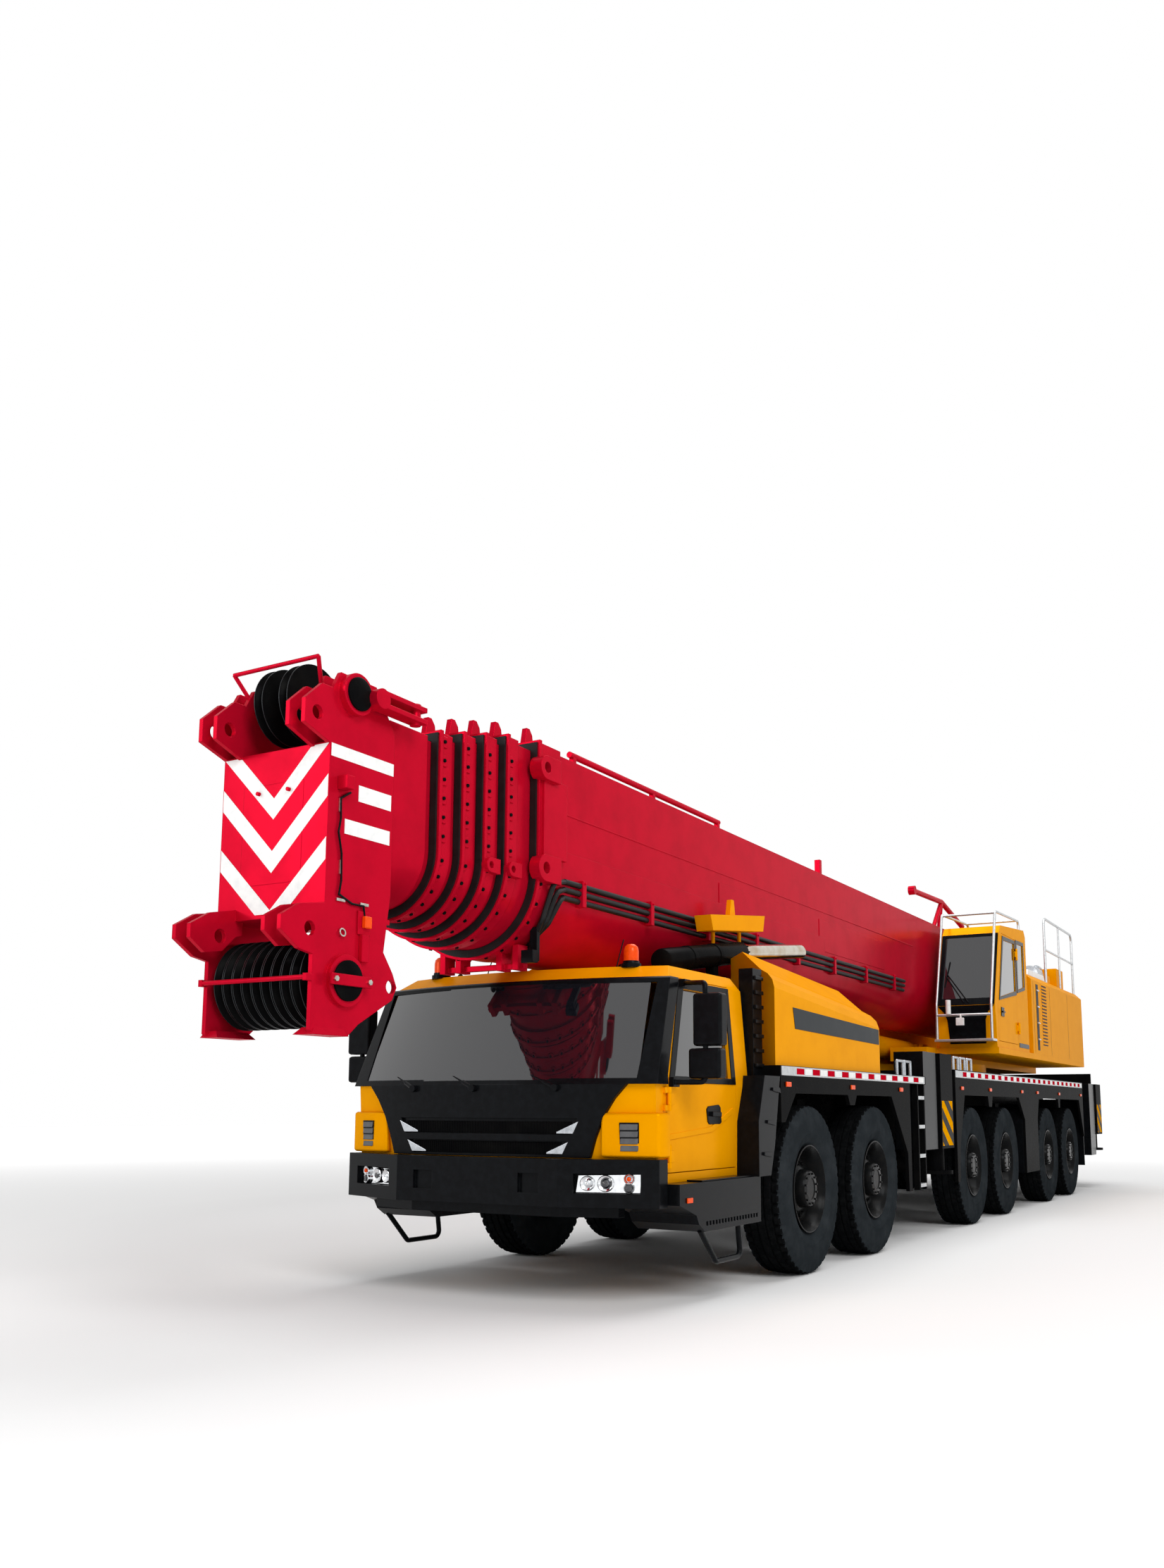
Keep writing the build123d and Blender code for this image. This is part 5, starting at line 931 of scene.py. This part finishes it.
# Ground and chromed steel: a pale mirror.
steel = coating("ground_steel", "b8babc", "8f9194", 0.22, metal=1.0, grain=60)
dress(chassis_enamel, "winch_drum")
dress(yellow_enamel, "lift_cylinder_barrel")
dress(steel, "lift_cylinder_rod")
low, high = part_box("winch_drum")
centre = (low + high) / 2
outline = []
for k in range(TURNS):
    y = FIRST_TURN + k * TURN_PITCH
    outline += [(GROOVE, y - 0.0118), (RIDGE_SIDE, y - 0.006), (RIDGE, y), (RIDGE_SIDE, y + 0.006)]
outline.append((GROOVE, outline[-1][1] + 0.006))
bm = bmesh.new()
spun(bm, outline, (centre.x, 0, centre.z), (0, 1, 0), 56)
piece(bm, "winch_grooves", drum_steel, "winch_drum")

# Boom base: a folded and welded red tube from the CAD, with three service tubes in clamps along each
# flank, hoses that bend down at its front, raised plates, a weld ridge, brackets and a work lamp.
# Offset from the middle, height, and how far each hose starts its bend early.
TUBES = ((0.577, 2.945, 0), (0.572, 2.888, 0.05), (0.562, 2.83, 0.1))
TUBE_RADIUS, HOSE_RADIUS = 0.021, 0.019
CLAMPS, CLAMP_PITCH = 8, 1.05
BASE_SIDE = 0.548
# Sprayed enamel on steel: signal red, its gloss tinted by the red itself.
red_enamel = coating("signal_red_enamel", "c10b28", "b00a24", 0.22, metal=0.3, shine=0.0)
# Extruded rubber: black, with a weak wide sheen. The same black also serves as the painted shadow at each boom
# collar's mouth.
hose_rubber_and_shadow_black = coating("hose_rubber_and_shadow_black", "121213", "1b1b1b", 0.5, grain=100, edge=3, shine=0.2)
dress(red_enamel, "boom_base")
bm = bmesh.new()
for _, side in SIDES:
    for y, z, early in TUBES:
        bar(bm, (AXLE + 2.44, side * y, z), (AXLE - 5.6, side * y, z), TUBE_RADIUS, 12)
    for y, z, early in TUBES:
        route = [(AXLE + 2.43, side * y, z), (AXLE + 2.62 - early, side * (y + 0.03), z - 0.04),
                 (AXLE + 2.66 - early, side * (y - 0.04), z - 0.3 + early),
                 (AXLE + 2.5, side * (0.3 - early), 2.41)]
        hose(bm, rounded(route, 0.05), HOSE_RADIUS, 8)
piece(bm, "boom_tubes", hose_rubber_and_shadow_black, "boom_base")
bm = bmesh.new()
for _, side in SIDES:
    for k in range(CLAMPS):
        x = AXLE + 2.2 - k * CLAMP_PITCH
        brick(bm, (x - 0.025, x + 0.025), (side * 0.525, side * 0.605), (2.79, 2.985))
        bar(bm, (x, side * 0.6, 2.965), (x, side * 0.617, 2.965), 0.011, 6)
piece(bm, "tube_clamps", red_enamel, "boom_base", bevel=0.004)
bm = bmesh.new()
for _, side in SIDES:
    bar(bm, (AXLE + 2.46, side * 0.5505, 3.45), (AXLE - 6.1, side * 0.5505, 3.45), 0.007, 8)
    for rear, front in ((-2.3, -0.2), (-4.9, -2.7)):
        brick(bm, (AXLE + rear, AXLE + front), (side * BASE_SIDE, side * 0.556), (3.02, 3.36))
for y in (-0.34, -0.2, 0.16, 0.3):
    brick(bm, (AXLE + 2.56, AXLE + 2.68), (y, y + 0.05), (2.3, 2.48))
brick(bm, (AXLE + 2.6, AXLE + 2.64), (-0.36, 0.37), (2.31, 2.35))
piece(bm, "boom_base_plates", red_enamel, "boom_base", bevel=0.003)
bm = bmesh.new()
brick(bm, (AXLE + 2.66, AXLE + 2.72), (0.4, 0.5), (2.34, 2.43))
for k in range(5):
    brick(bm, (AXLE + 2.63, AXLE + 2.662), (0.405 + k * 0.019, 0.413 + k * 0.019), (2.345, 2.425))
brick(bm, (AXLE + 2.6, AXLE + 2.64), (0.42, 0.48), (2.36, 2.6))
piece(bm, "boom_work_lamp", black_plastic, "boom_base", bevel=0.004)

# Boom collars: each telescoping section ends in a welded red collar with bolted wear pads round its sides
# and belly, and a flat black U at its mouth that is painted shadow for the gap where the next section runs in.
# Pads are bricks and stubs, the painted shadow is a flat U.
# Front edge of the collar of the base and of sections 2 to 5.
COLLARS = (2.79, 3.12, 3.32, 3.51, 3.71)
COLLAR_HALF, COLLAR_STEP = 0.572, 0.038
BELLY_CENTRE, ROOF_SPRING, ARC_STEPS = 2.96, 3.32, 28
PADS, PAD_PITCH, PAD_TURN = 6, 0.125, 14
for k, mouth in enumerate(COLLARS):
    body = "boom_base" if k == 0 else f"boom_section_{k + 1}"
    dress(red_enamel, body)
    half = COLLAR_HALF - COLLAR_STEP * k
    bolt_x = AXLE + mouth - 0.043
    pads, bolts, shadow_band = bmesh.new(), bmesh.new(), bmesh.new()
    for _, side in SIDES:
        for j in range(PADS):
            z = 3.02 + j * PAD_PITCH
            brick(pads, (AXLE + mouth - 0.075, AXLE + mouth - 0.012),
                  (side * (half - 0.03), side * (half + 0.011)), (z, z + 0.075))
            bar(bolts, (bolt_x, side * half, z + 0.037), (bolt_x, side * (half + 0.021), z + 0.037), 0.013, 6)
        for j in range(PADS):
            angle = math.radians(8 + j * PAD_TURN)
            out = Vector((0, side * math.cos(angle), -math.sin(angle)))
            foot = Vector((bolt_x, 0, BELLY_CENTRE))
            bar(pads, foot + out * (half - 0.03), foot + out * (half + 0.01), 0.032, 8)
            bar(bolts, foot + out * half, foot + out * (half + 0.02), 0.013, 6)
    # The flat black U at the mouth is painted shadow: it stands for the dark gap between the collar and the
    # next section.
    outlines = []
    for reach in (half - 0.004, half - 0.056):
        angles = [math.pi * n / ARC_STEPS for n in range(ARC_STEPS + 1)]
        belly = [(reach * math.cos(a), BELLY_CENTRE - reach * math.sin(a)) for a in angles]
        outline = [(reach, ROOF_SPRING + reach)] + belly + [(-reach, ROOF_SPRING + reach)]
        outlines.append([(AXLE + mouth + 0.0005, y, z) for y, z in outline])
    ring(shadow_band, outlines[0], outlines[1], (0.012, 0, 0))
    piece(pads, f"collar_pads_{k + 1}", red_enamel, body, bevel=0.003)
    piece(bolts, f"collar_bolts_{k + 1}", chassis_enamel, body)
    piece(shadow_band, f"collar_shadow_band_{k + 1}", hose_rubber_and_shadow_black, body)

# Boom head: two red side plates and a front plate from the CAD round black sheaves on two pins. White
# reflective chevrons and bars, a hatch, pin caps with keeper bars, a clamped cable and lamps lie on it.
HEAD_FRONT, HEAD_SIDE = AXLE + 4.71, 0.424
PLATE_LOW, PLATE_TOP = 2.445, 3.41
PIN_X, LOWER_PIN, UPPER_PIN = AXLE + 4.53, 2.05, 3.74
# Half chevrons, as shares of half the plate's width from its edge and of its height from the top.
CHEVRONS = ([(0.003, 0.0), (0.16, 0.0), (0.5, 0.29), (0.5, 0.42)],
            [(0.0, 0.19), (0.5, 0.616), (0.5, 0.751), (0.0, 0.325)],
            [(0.0, 0.57), (0.5, 0.978), (0.5, 1.0), (0.36, 1.0), (0.0, 0.705)])
SIDE_BARS = (((4.155, 4.70), (3.336, 3.412)), ((4.17, 4.46), (3.116, 3.213)), ((4.175, 4.57), (2.903, 2.99)))
HATCH = ((-0.25, 2.62), (0.2, 2.62), (0.23, 2.66), (0.23, 3.22), (-0.25, 3.22))
# Keeper bar, junction box, lamp plate and lamp foot: length, height, and from and to off the side plate.
KEEPERS = (((4.36, 4.70), (2.018, 2.082), 0.044, 0.064), ((4.575, 4.64), (3.15, 3.23), 0, 0.075),
           ((4.33, 4.44), (2.33, 2.47), 0, 0.012), ((4.36, 4.42), (2.17, 2.33), 0, 0.03))
# Cable clamps: middle, half length and half height.
CABLE_CLAMPS = ((4.62, 3.06, 0.008, 0.04), (4.60, 2.70, 0.008, 0.04), (4.59, 2.51, 0.035, 0.008),
                (4.39, 2.51, 0.035, 0.008))
CABLE = ((4.54, 3.15), (4.62, 3.10), (4.615, 2.98), (4.63, 2.9), (4.60, 2.78), (4.595, 2.62), (4.61, 2.54),
         (4.50, 2.5), (4.40, 2.5), (4.385, 2.43))
CABLE_RADIUS, RIM_HALF, RIM_THICK = 0.007, 0.0315, 0.0025
# Sheaves: offsets along the pin, height of the pin, and the rim's inner and outer radius.
SHEAVES = (([(k - 4) * 0.076 for k in range(9)], LOWER_PIN, 0.2605, 0.2632),
           ((-0.11, 0.09), UPPER_PIN, 0.2335, 0.2362))
# Worn iron rims: a dark grey edge that catches a little light.
sheave_rim = coating("dark_sheave_rim", "2a2c2e", "1c1d1f", 0.35, metal=0.5, grain=50, edge=1, shine=0.1)
dress(red_enamel, "boom_section_6")
dress(chassis_enamel, "head_sheaves")
bm = bmesh.new()
for outline in CHEVRONS:
    for _, side in SIDES:
        prism(bm, [(HEAD_FRONT + 0.0004, side * HEAD_SIDE * (2 * u - 1) * 0.985,
                    PLATE_TOP - v * (PLATE_TOP - PLATE_LOW)) for u, v in outline], (0.0016, 0, 0))
for x, z in SIDE_BARS:
    for _, side in SIDES:
        brick(bm, (AXLE + x[0], AXLE + x[1]), (side * (HEAD_SIDE + 0.0004), side * (HEAD_SIDE + 0.002)), z)
piece(bm, "head_chevrons", white_tape, "boom_section_6")

bm = bmesh.new()
prism(bm, [(HEAD_FRONT - 0.001, y, z) for y, z in HATCH], (0.0022, 0, 0))
for y in (-0.12, 0.12):
    bar(bm, (HEAD_FRONT, y, 3.17), (HEAD_FRONT + 0.022, y, 3.17), 0.012)
piece(bm, "head_hatch", red_enamel, "boom_section_6")

caps, keepers, bright, cable, lamps = (bmesh.new() for _ in range(5))
for _, side in SIDES:
    plate = side * HEAD_SIDE
    for z, radius, proud in ((LOWER_PIN, 0.118, 0.026), (UPPER_PIN, 0.1, 0.046)):
        rings = spun(caps, [(radius, -0.004), (radius, 0.012), (radius - 0.012, 0.018), (0.03, 0.018)],
                     (PIN_X, side * (HEAD_SIDE + proud), z), (0, side, 0), 40)
        capped(caps, rings, -1)
    for x, z, inner, outer in KEEPERS:
        brick(keepers, (AXLE + x[0], AXLE + x[1]), (side * (HEAD_SIDE + inner), side * (HEAD_SIDE + outer)), z)
    for x in (4.39, 4.67):
        bar(bright, (AXLE + x, side * (HEAD_SIDE + 0.06), LOWER_PIN),
            (AXLE + x, side * (HEAD_SIDE + 0.078), LOWER_PIN), 0.017, 6)
    for x, z, long_half, high_half in CABLE_CLAMPS:
        brick(bright, (AXLE + x - long_half, AXLE + x + long_half), (plate, side * (HEAD_SIDE + 0.012)),
              (z - high_half, z + high_half))
    spun(bright, [(0.026, -0.004), (0.026, 0.004), (0.018, 0.004), (0.018, -0.004), (0.026, -0.004)],
         (AXLE + 4.57, side * (HEAD_SIDE + 0.012), 2.325), (0, 1, 0.2), 20)
    hose(cable, [(AXLE + x, side * (HEAD_SIDE + 0.012), z) for x, z in CABLE], CABLE_RADIUS, 6)
    brick(lamps, (AXLE + 4.35, AXLE + 4.41), (side * (HEAD_SIDE + 0.012), side * (HEAD_SIDE + 0.04)),
          (2.37, 2.44))
piece(caps, "head_pin_caps", chassis_enamel, "boom_section_6")
piece(keepers, "head_keepers", red_enamel, "boom_section_6", bevel=0.004)
piece(bright, "head_bright_parts", zinc, "boom_section_6")
piece(cable, "head_cable", black_plastic, "boom_section_6")
piece(lamps, "head_lamps", amber_lens, "boom_section_6", bevel=0.006)

bm = bmesh.new()
for offsets, z, inner, outer in SHEAVES:
    rim = [(inner, -RIM_THICK), (outer, -RIM_THICK), (outer, RIM_THICK), (inner, RIM_THICK)]
    for y in offsets:
        for edge in (-RIM_HALF, RIM_HALF):
            spun(bm, rim, (PIN_X, y + edge, z), (0, 1, 0), 64)
piece(bm, "head_sheave_rims", sheave_rim, "boom_section_6")

low, high = (list(corner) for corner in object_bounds())
